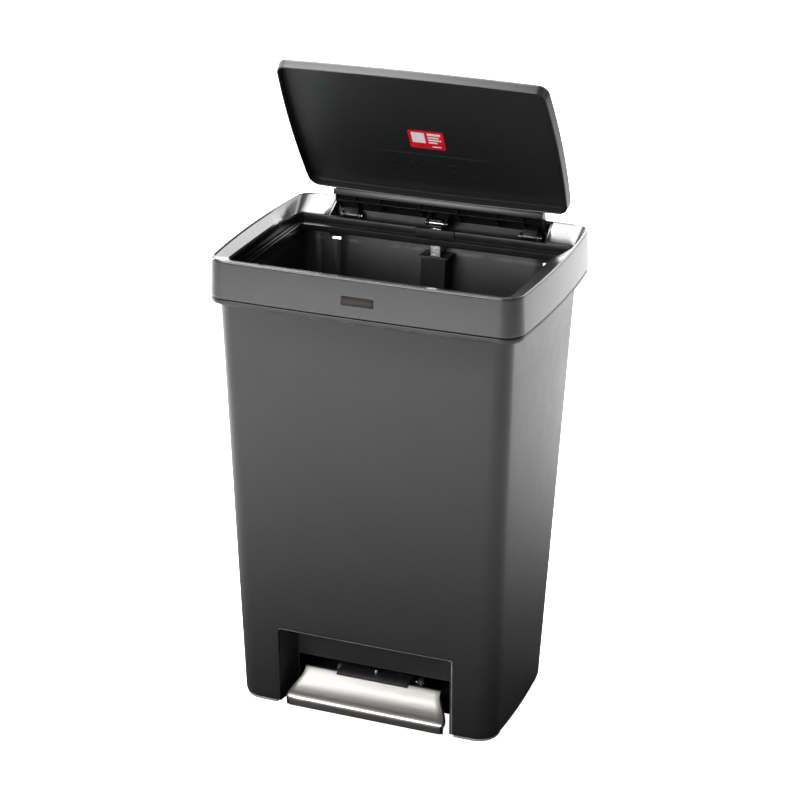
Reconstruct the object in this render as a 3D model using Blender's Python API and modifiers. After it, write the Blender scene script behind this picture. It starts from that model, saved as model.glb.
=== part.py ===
"""Pedal bin: tapered shell, dished collar, lid on a hinge web, pedal and lift bar.

The bin stands on the plane z = 0 with its front facing -Y, in metres.  The rest pose is the
pedal pressed down and the lid open; the lid, the pedal and the lift bar move together.
"""
import math

import bmesh
import bpy
from mathutils import Matrix, Vector

MM = 0.001
GAP = 0.3 * MM                      # clearance between pieces that rest on each other

# ---- driving dimensions ---------------------------------------------------------------
FLOOR_GAP = 4.0 * MM                # shell stands this high on its feet
COLLAR_TOP = 620.0 * MM
COLLAR_BOTTOM = 570.7 * MM
COLLAR_HALF_W = 203.8 * MM
COLLAR_HALF_D = 152.4 * MM
COLLAR_SIDE_BOW = 5.8 * MM
COLLAR_END_BOW = 2.4 * MM
COLLAR_RADIUS = 25.0 * MM
COLLAR_DRAFT = 2.65 * MM            # the collar grows this much towards its bottom edge

WELL_HALF_W = 194.0 * MM            # the sunk wall inside the collar
WELL_FRONT = -137.0 * MM
WELL_REAR = 117.0 * MM
WELL_TOP = 601.0 * MM                # at the hinge; the mouth's edge stands higher round the rest
MOUTH_LIFT = 11.5 * MM
MOUTH_DRAW = (0.0463, 0.057)         # share by which the raised edge is drawn in across X and Y
LEDGE_Z = 586.8 * MM
LEDGE_THICK = 2.5 * MM
LEDGE_INNER = 5.0 * MM

SHELL_WALL = 2.8 * MM
SHELL_TOP_HALF_W = 193.6 * MM
SHELL_TOP_FRONT = -148.7 * MM
SHELL_TOP_REAR = 140.7 * MM
SHELL_TOP_Z = 567.0 * MM
SHELL_LOW_HALF_W = 179.0 * MM
SHELL_LOW_FRONT = -134.0 * MM
SHELL_LOW_REAR = 105.0 * MM
SHELL_RIM_Z = 584.0 * MM
LIP_TOP = 569.1 * MM
LIP_BOTTOM = 562.5 * MM
BIN_FLOOR_Z = 123.0 * MM
BIN_FLOOR_THICK = 3.0 * MM

RECESS_HALF_W = 122.5 * MM
RECESS_REAR_HALF_W = 111.0 * MM
RECESS_TOP = 113.7 * MM
RECESS_BACK_Y = -91.0 * MM
RECESS_BACK_EDGE_Z = 56.5 * MM
RECESS_WALL = 2.5 * MM

HINGE_Y = 136.4 * MM
HINGE_Z = 599.5 * MM
LID_OPEN_DEG = 58.8
LID_FRONT = -123.8 * MM
LID_REAR = 95.85 * MM
LID_RIM_Z = 608.5 * MM
LID_TOP_Z = 622.9 * MM
LID_FRONT_HALF_W = 178.0 * MM
LID_REAR_HALF_W = 179.8 * MM
LID_WALL = 2.4 * MM
LID_FLARE = 1.8 * MM
POCKET_HALF_W = 149.0 * MM
POCKET_REAR = 148.2 * MM
WEB_HALF_W = 144.0 * MM
KNUCKLE_IN = 115.6 * MM
KNUCKLE_OUT = 134.6 * MM
KNUCKLE_R = 5.0 * MM
PIN_R = 2.0 * MM
CRANK_ARM = 15.5 * MM
CRANK_PIN_R = 2.0 * MM

PEDAL_AXIS_Y = -70.0 * MM
PEDAL_AXIS_Z = 34.0 * MM
PEDAL_SWING_DEG = 18.0
AXLE_R = 3.0 * MM
LEVER_HALF_W = 50.0 * MM
TREAD_HALF_W = 111.0 * MM
TREAD_REAR_HALF_W = 95.5 * MM
TREAD_CORNER_R = 8.0 * MM

BAR_TILT = 0.0661                   # run of the lift bar's slope for each unit of rise
BAR_HALF_W = 7.0 * MM
BAR_THICK = 3.0 * MM
CHANNEL_HALF_W = 17.0 * MM
CHANNEL_TOP = 564.0 * MM
CHANNEL_DEPTH = 28.5 * MM
CHANNEL_WALL = 2.0 * MM

# ---- values that follow from them ------------------------------------------------------
LID_OPEN = math.radians(LID_OPEN_DEG)
PEDAL_SWING = math.radians(PEDAL_SWING_DEG)
CRANK_RISE = 2 * CRANK_ARM * math.sin(LID_OPEN / 2)
CRANK_PIN_Y = HINGE_Y - CRANK_ARM * math.cos(LID_OPEN / 2)
CRANK_PIN_OPEN_Z = HINGE_Z + CRANK_RISE / 2
FINGER_ARM = CRANK_RISE / (2 * math.sin(PEDAL_SWING / 2))
FINGER_R = 3.0 * MM
FINGER_Y = PEDAL_AXIS_Y + FINGER_ARM * math.cos(PEDAL_SWING / 2)
FINGER_Z = PEDAL_AXIS_Z + CRANK_RISE / 2
BAR_FOOT_Z = FINGER_Z + FINGER_R + GAP


def bar_y(z):
    """Middle of the lift bar's thickness at height z."""
    return CRANK_PIN_Y - BAR_TILT * (HINGE_Z - z)


def rear_wall_y(z):
    """Inner face of the shell's rear wall, on the centre line."""
    low = SHELL_LOW_REAR + 0.9 * MM - SHELL_WALL
    return low + BAR_TILT * (z - FLOOR_GAP)


# ---- scene ------------------------------------------------------------------------------
for old in list(bpy.data.objects):
    bpy.data.objects.remove(old, do_unlink=True)

parts = bpy.data.collections.new("pedal_bin")
cutters = bpy.data.collections.new("cutters")
bpy.context.scene.collection.children.link(parts)
bpy.context.scene.collection.children.link(cutters)


def finish(name, color, roughness, metallic=0.0):
    """A plain material: colour, roughness and metallic value."""
    made = bpy.data.materials.new(name)
    made.use_nodes = True
    shader = made.node_tree.nodes["Principled BSDF"]
    shader.inputs["Base Color"].default_value = (*color, 1.0)
    shader.inputs["Roughness"].default_value = roughness
    shader.inputs["Metallic"].default_value = metallic
    return made


CHARCOAL = finish("charcoal_plastic", (0.045, 0.046, 0.048), 0.42)
COLLAR_GREY = finish("collar_plastic", (0.12, 0.12, 0.125), 0.32)
BLACK = finish("black_plastic", (0.015, 0.015, 0.017), 0.35)
STAINLESS = finish("stainless", (0.62, 0.6, 0.57), 0.3, 1.0)
BLACK_STEEL = finish("black_steel", (0.02, 0.022, 0.025), 0.4, 0.6)
ZINC = finish("zinc_steel", (0.7, 0.7, 0.7), 0.25, 1.0)
PAD = finish("foot_rubber", (0.45, 0.42, 0.4), 0.7)
PLAQUE = finish("plaque", (0.09, 0.075, 0.065), 0.35, 0.3)
STICKER = finish("sticker", (0.7, 0.01, 0.03), 0.4)


def empty_at(name, place, turn=0.0):
    made = bpy.data.objects.new(name, None)
    made.location = place
    made.rotation_euler = (turn, 0.0, 0.0)
    parts.objects.link(made)
    return made


LID_AXIS = empty_at("lid_axis", (0.0, HINGE_Y, HINGE_Z), -LID_OPEN)
PEDAL_AXIS = empty_at("pedal_axis", (0.0, PEDAL_AXIS_Y, PEDAL_AXIS_Z))
BAR_AXIS = empty_at("bar_axis", (0.0, bar_y(BAR_FOOT_Z), BAR_FOOT_Z))
ORIGIN = {
    None: Vector((0.0, 0.0, 0.0)),
    LID_AXIS: Vector(LID_AXIS.location),
    PEDAL_AXIS: Vector(PEDAL_AXIS.location),
    BAR_AXIS: Vector(BAR_AXIS.location),
}


def add_part(name, mesh, material, parent=None, round_piece=False):
    """Link a mesh drawn in the bin's own coordinates, re-based on its parent's origin."""
    mesh.transform(Matrix.Translation(-ORIGIN[parent]))
    mesh.materials.clear()
    mesh.materials.append(material)
    made = bpy.data.objects.new(name, mesh)
    made.parent = parent
    parts.objects.link(made)
    if round_piece:
        mesh.shade_smooth()
        mesh.set_sharp_from_angle(angle=math.radians(35))
    return made


def add_cutter(name, mesh, parent=None):
    mesh.transform(Matrix.Translation(-ORIGIN[parent]))
    made = bpy.data.objects.new(name, mesh)
    made.parent = parent
    made.hide_render = True
    made.display_type = "WIRE"
    cutters.objects.link(made)
    return made


def join(target, mesh, operation):
    """Add or take away a solid drawn in the bin's own coordinates."""
    tool = add_cutter(f"{target.name}_{operation.lower()}_{len(target.modifiers)}", mesh, target.parent)
    step = target.modifiers.new(tool.name, "BOOLEAN")
    step.operation = operation
    step.object = tool


def bevel(target, width, segments=2, angle=40.0):
    step = target.modifiers.new("bevel", "BEVEL")
    step.width = width
    step.segments = segments
    step.limit_method = "ANGLE"
    step.angle_limit = math.radians(angle)


def to_mesh(bm, name):
    bmesh.ops.recalc_face_normals(bm, faces=bm.faces)
    if bm.calc_volume(signed=True) < 0:
        bmesh.ops.reverse_faces(bm, faces=bm.faces)
    mesh = bpy.data.meshes.new(name)
    bm.to_mesh(mesh)
    bm.free()
    return mesh


def box(low, high):
    """A block between two opposite corners, in either order."""
    low, high = Vector(map(min, low, high)), Vector(map(max, low, high))
    bm = bmesh.new()
    bmesh.ops.create_cube(bm, size=1.0)
    size = Matrix.Diagonal((*(high - low), 1.0))
    bm.transform(Matrix.Translation((low + high) / 2) @ size)
    return to_mesh(bm, "box")


def rod_x(y, z, x_from, x_to, radius, segments=24):
    """A round bar along X."""
    bm = bmesh.new()
    bmesh.ops.create_cone(bm, cap_ends=True, segments=segments, radius1=radius, radius2=radius,
                          depth=abs(x_to - x_from))
    turn = Matrix.Rotation(math.pi / 2, 4, "Y")
    bm.transform(Matrix.Translation(((x_from + x_to) / 2, y, z)) @ turn)
    return to_mesh(bm, "rod")


def rod_z(x, y, z_from, z_to, radius, radius_top=None, segments=24):
    """An upright round bar, or a cone."""
    bm = bmesh.new()
    top = radius if radius_top is None else radius_top
    bmesh.ops.create_cone(bm, cap_ends=True, segments=segments, radius1=radius, radius2=top,
                          depth=z_to - z_from)
    bm.transform(Matrix.Translation((x, y, (z_from + z_to) / 2)))
    return to_mesh(bm, "rod")


def slab(points, x_from, x_to):
    """A flat outline of (y, z) points, given its thickness along X."""
    curve = bpy.data.curves.new("slab", "CURVE")
    curve.dimensions = "2D"
    curve.fill_mode = "BOTH"
    curve.extrude = abs(x_to - x_from) / 2
    line = curve.splines.new("POLY")
    line.points.add(len(points) - 1)
    for point, (y, z) in zip(line.points, points):
        point.co = (y, z, 0.0, 1.0)
    line.use_cyclic_u = True
    holder = bpy.data.objects.new("slab", curve)
    parts.objects.link(holder)
    view = bpy.context.evaluated_depsgraph_get()
    mesh = bpy.data.meshes.new_from_object(holder.evaluated_get(view))
    bpy.data.objects.remove(holder, do_unlink=True)
    bm = bmesh.new()
    bm.from_mesh(mesh)
    bmesh.ops.remove_doubles(bm, verts=bm.verts, dist=0.01 * MM)
    upright = Matrix(((0, 0, 1, (x_from + x_to) / 2), (1, 0, 0, 0), (0, 1, 0, 0), (0, 0, 0, 1)))
    bm.transform(upright)
    return to_mesh(bm, "slab")


def outline(half_w, front, rear, side_bow, end_bow, r_front, r_rear=None, sides=6, turns=5):
    """Plan of a rounded rectangle with bowed sides, anticlockwise, as (x, y) points."""
    r_rear = r_front if r_rear is None else r_rear
    corners = [
        ((half_w - r_front, front + r_front), r_front, -90.0, end_bow, side_bow),
        ((half_w - r_rear, rear - r_rear), r_rear, 0.0, side_bow, end_bow),
        ((r_rear - half_w, rear - r_rear), r_rear, 90.0, end_bow, side_bow),
        ((r_front - half_w, front + r_front), r_front, 180.0, side_bow, end_bow),
    ]
    across = 2 * (half_w - max(r_front, r_rear))
    along = (rear - front) - r_front - r_rear
    lean = {end_bow: math.atan(4 * end_bow / across), side_bow: math.atan(4 * side_bow / along)}
    arcs = []
    for (cx, cy), radius, start, bow_in, bow_out in corners:
        first = math.radians(start) + lean[bow_in]
        last = math.radians(start + 90.0) - lean[bow_out]
        arcs.append([
            (cx + radius * math.cos(first + (last - first) * i / turns),
             cy + radius * math.sin(first + (last - first) * i / turns))
            for i in range(turns + 1)
        ])
    points = []
    bows = [side_bow, end_bow, side_bow, end_bow]
    for index, arc in enumerate(arcs):
        points += arc
        start, end = Vector(arc[-1]), Vector(arcs[(index + 1) % 4][0])
        run = end - start
        out = Vector((run.y, -run.x)).normalized()
        for step in range(1, sides):
            t = step / sides
            spot = start + run * t + out * (4 * bows[index] * t * (1 - t))
            points.append((spot.x, spot.y))
    return points


def grow(plan, distance):
    """Offset a closed plan outwards along its own normals."""
    grown = []
    count = len(plan)
    for index, (x, y) in enumerate(plan):
        before = Vector(plan[index - 1])
        after = Vector(plan[(index + 1) % count])
        run = after - before
        out = Vector((run.y, -run.x)).normalized()
        grown.append((x + out.x * distance, y + out.y * distance))
    return grown


def loft(rings, loop=False):
    """Skin a list of (plan, z) rings.  The ends are capped, or joined into a closed loop."""
    bm = bmesh.new()
    rows = [[bm.verts.new((x, y, z)) for x, y in plan] for plan, z in rings]
    count = len(rows[0])
    pairs = list(zip(rows, rows[1:]))
    if loop:
        pairs.append((rows[-1], rows[0]))
    for low, high in pairs:
        for i in range(count):
            j = (i + 1) % count
            bm.faces.new((low[i], low[j], high[j], high[i]))
    if not loop:
        bm.faces.new(rows[0])
        bm.faces.new(rows[-1])
    return to_mesh(bm, "loft")


def shell_plan(z, inset=0.0):
    """Plan of the shell's outer face at height z, drawn in by inset."""
    t = (z - FLOOR_GAP) / (SHELL_TOP_Z - FLOOR_GAP)

    def mix(low, high):
        return low + (high - low) * t

    plan = outline(
        mix(SHELL_LOW_HALF_W, SHELL_TOP_HALF_W), mix(SHELL_LOW_FRONT, SHELL_TOP_FRONT),
        mix(SHELL_LOW_REAR, SHELL_TOP_REAR), mix(3.1 * MM, 5.0 * MM), mix(0.9 * MM, 2.4 * MM),
        mix(30.0 * MM, 22.0 * MM), mix(55.0 * MM, 24.0 * MM))
    return grow(plan, -inset)


COLLAR_PLAN = outline(COLLAR_HALF_W, -COLLAR_HALF_D, COLLAR_HALF_D, COLLAR_SIDE_BOW,
                      COLLAR_END_BOW, COLLAR_RADIUS)
WELL_PLAN = outline(WELL_HALF_W, WELL_FRONT, WELL_REAR, 0.6 * MM, 0.4 * MM, 12.0 * MM)


# ---- shell ------------------------------------------------------------------------------
def make_shell():
    """Tapered shell: outer wall, lip, rim, bin floor and the bay below it, one moulding."""
    lip = grow(COLLAR_PLAN, COLLAR_DRAFT - 1.0 * MM)
    rings = [
        (shell_plan(BIN_FLOOR_Z, SHELL_WALL), BIN_FLOOR_Z),
        (shell_plan(SHELL_RIM_Z, SHELL_WALL), SHELL_RIM_Z),
        (shell_plan(SHELL_RIM_Z), SHELL_RIM_Z),
        (shell_plan(LIP_TOP), LIP_TOP),
        (lip, LIP_TOP),
        (lip, LIP_BOTTOM + 1.0 * MM),
        (grow(lip, -1.0 * MM), LIP_BOTTOM),
        (shell_plan(LIP_BOTTOM), LIP_BOTTOM),
        (shell_plan(FLOOR_GAP + 3.0 * MM), FLOOR_GAP + 3.0 * MM),
        (shell_plan(FLOOR_GAP, 0.8 * MM), FLOOR_GAP),
        (shell_plan(FLOOR_GAP, SHELL_WALL), FLOOR_GAP),
        (shell_plan(BIN_FLOOR_Z - BIN_FLOOR_THICK, SHELL_WALL), BIN_FLOOR_Z - BIN_FLOOR_THICK),
    ]
    shell = add_part("body_shell", loft(rings), CHARCOAL, round_piece=True)
    join(shell, recess_block(), "UNION")
    join(shell, recess_void(), "DIFFERENCE")
    lever_slot = box((-RECESS_REAR_HALF_W + 1.5 * MM, RECESS_BACK_Y - 1.0 * MM, -1.0 * MM),
                     (RECESS_REAR_HALF_W - 1.5 * MM, RECESS_BACK_Y + 8.0 * MM, RECESS_BACK_EDGE_Z))
    join(shell, lever_slot, "DIFFERENCE")
    floor_y = bar_y(BIN_FLOOR_Z)
    bar_hole = box((-11.0 * MM, floor_y - 6.0 * MM, BIN_FLOOR_Z - 8.0 * MM),
                   (11.0 * MM, floor_y + 6.0 * MM, BIN_FLOOR_Z + 5.0 * MM))
    join(shell, bar_hole, "DIFFERENCE")
    for side in (-1, 1):
        window = box((side * 143.0 * MM, 125.0 * MM, 559.5 * MM),
                     (side * 155.0 * MM, 170.0 * MM, 568.0 * MM))
        join(shell, window, "DIFFERENCE")
    return shell


def recess_plan(spread, back_extra, front_y):
    """Four corners of the pedal recess in plan, narrower at the back."""
    wide, narrow = RECESS_HALF_W + spread, RECESS_REAR_HALF_W + spread
    back = RECESS_BACK_Y + back_extra
    return [(-wide, front_y), (wide, front_y), (narrow, back), (-narrow, back)]


def recess_block():
    """The recess with its walls, still solid."""
    plan = recess_plan(RECESS_WALL, RECESS_WALL, -133.5 * MM)
    rings = [(plan, FLOOR_GAP), (plan, BIN_FLOOR_Z - BIN_FLOOR_THICK + 0.5 * MM)]
    return loft(rings)


def recess_void():
    """The space inside the recess, with rounded upper corners."""
    plan = recess_plan(0.0, 0.0, -150.0 * MM)
    radius = 5.0 * MM
    rings = [(plan, -5.0 * MM)]
    for step in range(5):
        angle = math.radians(90.0 * step / 4)
        draw_in = radius * (1 - math.cos(angle))
        rings.append(([(x - math.copysign(draw_in, x), y) for x, y in plan],
                      RECESS_TOP - radius + radius * math.sin(angle)))
    return loft(rings)


# ---- collar -----------------------------------------------------------------------------
def raise_mouth(mesh):
    """Lift the mouth's edge away from the hinge, so that the deck round the closed lid lies nearly level."""
    for vertex in mesh.vertices:
        if abs(vertex.co.z - WELL_TOP) < 2.0 * MM:
            share = min(max((95.0 * MM - vertex.co.y) / (75.0 * MM), 0.0), 1.0)
            share = share * share * (3.0 - 2.0 * share)
            vertex.co.x *= 1.0 - MOUTH_DRAW[0] * share
            vertex.co.y *= 1.0 - MOUTH_DRAW[1] * share
            vertex.co.z += MOUTH_LIFT * share
    return mesh


def make_collar():
    """Metal collar: outer wall with a rounded rim and the deck that slopes into the mouth."""
    inner_skin = grow(COLLAR_PLAN, -2.8 * MM)
    mouth = grow(WELL_PLAN, GAP)
    rings = [
        (grow(COLLAR_PLAN, COLLAR_DRAFT), COLLAR_BOTTOM),
        (COLLAR_PLAN, COLLAR_TOP - 1.2 * MM),
        (grow(COLLAR_PLAN, -1.0 * MM), COLLAR_TOP),
        (grow(COLLAR_PLAN, -2.6 * MM), COLLAR_TOP),
        (mouth, WELL_TOP + 0.2 * MM),
        (mouth, WELL_TOP - 1.1 * MM),
        (grow(inner_skin, -1.0 * MM), COLLAR_TOP - 4.0 * MM),
        (grow(inner_skin, COLLAR_DRAFT), COLLAR_BOTTOM),
    ]
    collar = add_part("top_collar", raise_mouth(loft(rings, loop=True)), COLLAR_GREY, round_piece=True)
    bay = box((-POCKET_HALF_W - 2.8 * MM, 112.0 * MM, 580.0 * MM), (POCKET_HALF_W + 2.8 * MM, 150.1 * MM, 640.0 * MM))
    join(collar, bay, "DIFFERENCE")
    badge_seat = box((-21.0 * MM, -165.0 * MM, 586.3 * MM), (21.0 * MM, -155.3 * MM, 597.7 * MM))
    join(collar, badge_seat, "DIFFERENCE")
    return collar


def make_inner_frame():
    """Black frame inside the collar: well wall, ledge and the hinge pocket with its ears."""
    top = WELL_TOP - 1.6 * MM
    rings = [
        (WELL_PLAN, top), (WELL_PLAN, LEDGE_Z + 4.0 * MM), (WELL_PLAN, LEDGE_Z), (grow(WELL_PLAN, -LEDGE_INNER), LEDGE_Z),
        (grow(WELL_PLAN, -LEDGE_INNER), LEDGE_Z - LEDGE_THICK), (grow(WELL_PLAN, 1.8 * MM), LEDGE_Z - LEDGE_THICK),
        (grow(WELL_PLAN, 1.8 * MM), LEDGE_Z + 4.0 * MM), (grow(WELL_PLAN, 1.8 * MM), top),
    ]
    inner = add_part("inner_frame", raise_mouth(loft(rings, loop=True)), BLACK, round_piece=True)
    front, rear, bottom = WELL_REAR + 0.6 * MM, POCKET_REAR + 1.6 * MM, LEDGE_Z - LEDGE_THICK
    wedge = [(front, bottom), (rear, bottom), (rear, 616.8 * MM), (147.0 * MM, 616.8 * MM),
             (122.0 * MM, 603.0 * MM), (front, 600.2 * MM)]
    join(inner, slab(wedge, -POCKET_HALF_W - 2.4 * MM, POCKET_HALF_W + 2.4 * MM), "UNION")
    pocket = box((-POCKET_HALF_W, WELL_REAR + 1.9 * MM, LEDGE_Z), (POCKET_HALF_W, POCKET_REAR, 640.0 * MM))
    join(inner, pocket, "DIFFERENCE")
    for side in (-1, 1):
        for low, high in ((KNUCKLE_IN - 4.5 * MM, KNUCKLE_IN - 0.5 * MM),
                          (KNUCKLE_OUT + 0.5 * MM, KNUCKLE_OUT + 4.5 * MM)):
            join(inner, ear(side * low, side * high), "UNION")
            join(inner, rod_x(HINGE_Y, HINGE_Z, side * (low - 1 * MM), side * (high + 1 * MM),
                              PIN_R + 0.25 * MM, 16), "DIFFERENCE")
    notch = box((-20.0 * MM, WELL_REAR - 2.0 * MM, LEDGE_Z), (20.0 * MM, WELL_REAR + 4.0 * MM, 610.0 * MM))
    join(inner, notch, "DIFFERENCE")
    bar_gate = box((-16.0 * MM, WELL_REAR - 1.0 * MM, 580.0 * MM), (16.0 * MM, 134.0 * MM, 590.0 * MM))
    join(inner, bar_gate, "DIFFERENCE")


def ear(x_from, x_to):
    """A hinge ear standing on the pocket floor, rounded over the pin."""
    radius = 5.2 * MM
    points = [(HINGE_Y - radius - 2.0 * MM, LEDGE_Z - 1.0 * MM), (HINGE_Y + radius + 2.0 * MM, LEDGE_Z - 1.0 * MM)]
    for step in range(9):
        angle = math.radians(180.0 * step / 8)
        points.append((HINGE_Y + radius * math.cos(angle), HINGE_Z + radius * math.sin(angle)))
    return slab(points, x_from, x_to)


def make_badge():
    """Blank plaque set in the front of the collar."""
    badge = add_part("badge_plate", box((-20.6 * MM, -156.6 * MM, 586.7 * MM),
                                        (20.6 * MM, -155.6 * MM, 597.3 * MM)), PLAQUE)
    bevel(badge, 0.3 * MM, 1)


def make_liner_ring():
    """Loose ring on the collar's ledge that holds the bag's edge, with a turned-down lip."""
    seat = LEDGE_Z + GAP
    outer = grow(WELL_PLAN, -0.4 * MM)
    inner = grow(WELL_PLAN, -8.3 * MM)
    rings = [
        (outer, seat), (outer, seat + 2.0 * MM), (grow(outer, -1.4 * MM), seat + 2.0 * MM),
        (grow(outer, -1.9 * MM), seat + 1.2 * MM), (grow(inner, 0.6 * MM), seat + 1.2 * MM),
        (inner, seat + 0.6 * MM), (inner, seat - 7.0 * MM),
        (grow(inner, 1.5 * MM), seat - 7.0 * MM), (grow(inner, 1.5 * MM), seat),
    ]
    add_part("liner_ring", loft(rings, loop=True), BLACK, round_piece=True)


def make_guide_cover():
    """Shallow cap that closes the notch in front of the lift bar's head."""
    front = WELL_REAR - 1.9 * MM
    cover = add_part("bar_guide_cover", box((-27.0 * MM, front, LEDGE_Z + 3.0 * MM),
                                            (27.0 * MM, front + 1.4 * MM, 600.5 * MM)), COLLAR_GREY)
    bevel(cover, 0.4 * MM, 1)


def make_hinge_pins():
    for side, name in ((-1, "hinge_pin_left"), (1, "hinge_pin_right")):
        pin = rod_x(HINGE_Y, HINGE_Z, side * (KNUCKLE_IN - 6.0 * MM), side * (KNUCKLE_OUT + 6.0 * MM), PIN_R)
        add_part(name, pin, ZINC, round_piece=True)


# ---- lid --------------------------------------------------------------------------------
def lid_plan(spread):
    """Plan of the closed lid, a little wider at the rear."""
    plan = outline(LID_REAR_HALF_W, LID_FRONT, LID_REAR, 3.65 * MM, 2.47 * MM, 12.9 * MM, 16.6 * MM)
    length = LID_REAR - LID_FRONT
    narrowing = LID_FRONT_HALF_W / LID_REAR_HALF_W - 1
    shaped = [(x * (1 + narrowing * (LID_REAR - y) / length), y) for x, y in plan]
    return grow(shaped, spread)


def shrink(plan, share, centre_y):
    return [(x * share, centre_y + (y - centre_y) * share) for x, y in plan]


def make_lid():
    """Lid panel with its skirt, drawn closed; its parent turns it open."""
    centre = (LID_FRONT + LID_REAR) / 2
    rings = [
        (shrink(lid_plan(-LID_WALL), 0.5, centre), LID_TOP_Z - 1.0 * MM),
        (lid_plan(-LID_WALL - 6.0 * MM), LID_TOP_Z - 2.6 * MM),
        (lid_plan(-LID_WALL), LID_TOP_Z - 4.4 * MM),
        (lid_plan(-LID_WALL + 0.2 * MM), LID_RIM_Z),
        (lid_plan(0.0), LID_RIM_Z),
        (lid_plan(LID_FLARE), LID_TOP_Z - 2.4 * MM),
        (lid_plan(LID_FLARE - 0.8 * MM), LID_TOP_Z - 0.8 * MM),
        (lid_plan(LID_FLARE - 3.0 * MM), LID_TOP_Z),
        (shrink(lid_plan(-LID_WALL), 0.5, centre), LID_TOP_Z + 1.6 * MM),
    ]
    add_part("lid_shell", loft(rings), CHARCOAL, LID_AXIS, round_piece=True)


def make_web():
    """Ribbed hinge web behind the lid, with two knuckles and the crank lugs."""
    wedge = [
        (98.2 * MM, 606.8 * MM), (104.0 * MM, 606.6 * MM), (112.0 * MM, 601.8 * MM),
        (119.5 * MM, 602.4 * MM), (133.0 * MM, 609.0 * MM), (137.0 * MM, 609.8 * MM),
        (136.2 * MM, 611.8 * MM), (130.0 * MM, 614.2 * MM), (98.2 * MM, 620.6 * MM),
    ]
    web = add_part("lid_hinge_web", slab(wedge, -WEB_HALF_W, WEB_HALF_W), BLACK, LID_AXIS)
    bays = [(-141.8, -118.2), (-115.4, -82.3), (-79.9, -28.4), (-24.4, 24.4), (28.4, 79.9), (82.3, 115.4),
            (118.2, 141.8)]
    upper = [(104.6 * MM, 598.0 * MM), (111.8 * MM, 598.0 * MM), (111.8 * MM, 615.4 * MM), (101.4 * MM, 617.6 * MM)]
    lower = [(113.8 * MM, 596.0 * MM), (142.0 * MM, 596.0 * MM), (142.0 * MM, 608.5 * MM),
             (134.0 * MM, 610.9 * MM), (113.8 * MM, 615.0 * MM)]
    hug = lid_plan(LID_FLARE + GAP)
    join(web, loft([(hug, 590.0 * MM), (hug, 640.0 * MM)]), "DIFFERENCE")
    for low, high in bays:
        join(web, slab(upper, low * MM, high * MM), "DIFFERENCE")
        join(web, slab(lower, low * MM, high * MM), "DIFFERENCE")
    for side in (-1, 1):
        knuckle = [(127.5 * MM, 613.8 * MM), (127.5 * MM, 604.0 * MM)]
        for step in range(13):
            angle = math.radians(200.0 + 200.0 * step / 12)
            knuckle.append((HINGE_Y + KNUCKLE_R * math.cos(angle), HINGE_Z + KNUCKLE_R * math.sin(angle)))
        knuckle += [(141.0 * MM, 605.0 * MM), (138.4 * MM, 610.0 * MM), (135.6 * MM, 612.0 * MM)]
        join(web, slab(knuckle, side * KNUCKLE_IN, side * KNUCKLE_OUT), "UNION")
        join(web, rod_x(HINGE_Y, HINGE_Z, side * (KNUCKLE_IN - 2 * MM), side * (KNUCKLE_OUT + 2 * MM),
                        PIN_R + 0.25 * MM, 20), "DIFFERENCE")
        join(web, crank_lug(side * 10.5 * MM, side * 14.5 * MM), "UNION")
        join(web, rod_x(CRANK_PIN_Y, CRANK_PIN_OPEN_Z - CRANK_RISE, side * 9.0 * MM, side * 16.0 * MM,
                        CRANK_PIN_R + 0.25 * MM, 16), "DIFFERENCE")
    return web


def crank_lug(x_from, x_to):
    """A lug under the web, round about the crank pin, drawn with the lid closed."""
    radius = 3.7 * MM
    pin_z = CRANK_PIN_OPEN_Z - CRANK_RISE
    points = [(CRANK_PIN_Y + 6.0 * MM, 613.5 * MM), (CRANK_PIN_Y - 2.0 * MM, 614.8 * MM)]
    for step in range(9):
        angle = math.radians(180.0 + 180.0 * step / 8)
        points.append((CRANK_PIN_Y + radius * math.cos(angle), pin_z + radius * math.sin(angle)))
    return slab(points, x_from, x_to)


def make_crank_pin():
    pin = rod_x(CRANK_PIN_Y, CRANK_PIN_OPEN_Z - CRANK_RISE, -15.5 * MM, 15.5 * MM, CRANK_PIN_R)
    add_part("crank_pin", pin, ZINC, LID_AXIS, round_piece=True)


def make_label():
    """Thin sticker on the lid's underside."""
    under = LID_TOP_Z - 1.35 * MM
    label = box((-24.5 * MM, -20.5 * MM, under - 0.55 * MM), (24.5 * MM, 12.5 * MM, under - 0.3 * MM))
    add_part("lid_label", label, STICKER, LID_AXIS)


# ---- pedal ------------------------------------------------------------------------------
TREAD_LINE = [
    (-97.6, 41.5), (-97.4, 43.4), (-98.2, 45.0), (-99.8, 45.9), (-101.6, 45.7), (-102.9, 44.6),
    (-103.9, 42.8), (-106.5, 38.6), (-110.5, 33.8), (-115.5, 28.6), (-121.0, 23.6), (-126.5, 18.9),
    (-130.6, 15.2), (-133.2, 12.2), (-134.6, 9.2), (-135.4, 5.4), (-135.8, 1.8),
]


def tread_line(inset):
    """The tread's side profile, drawn in by inset towards its hollow side."""
    points = [Vector(point) * MM for point in TREAD_LINE]
    moved = []
    for index, point in enumerate(points):
        before = points[max(index - 1, 0)]
        after = points[min(index + 1, len(points) - 1)]
        run = (after - before).normalized()
        moved.append(point + Vector((-run.y, run.x)) * inset)
    return [(point.x, point.y) for point in moved]


def tread_half_width(y, z):
    """The tread flares in an S from its bead to its front edge, whose corners are rounded."""
    share = min(max((z / MM - 12.0) / 31.0, 0.0), 1.0)
    share = share * share * (3 - 2 * share)
    wide = TREAD_HALF_W + (TREAD_REAR_HALF_W - TREAD_HALF_W) * share
    into = min(max(-128.5 * MM - y, 0.0), TREAD_CORNER_R)
    return wide - TREAD_CORNER_R + math.sqrt(TREAD_CORNER_R ** 2 - into ** 2)


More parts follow.
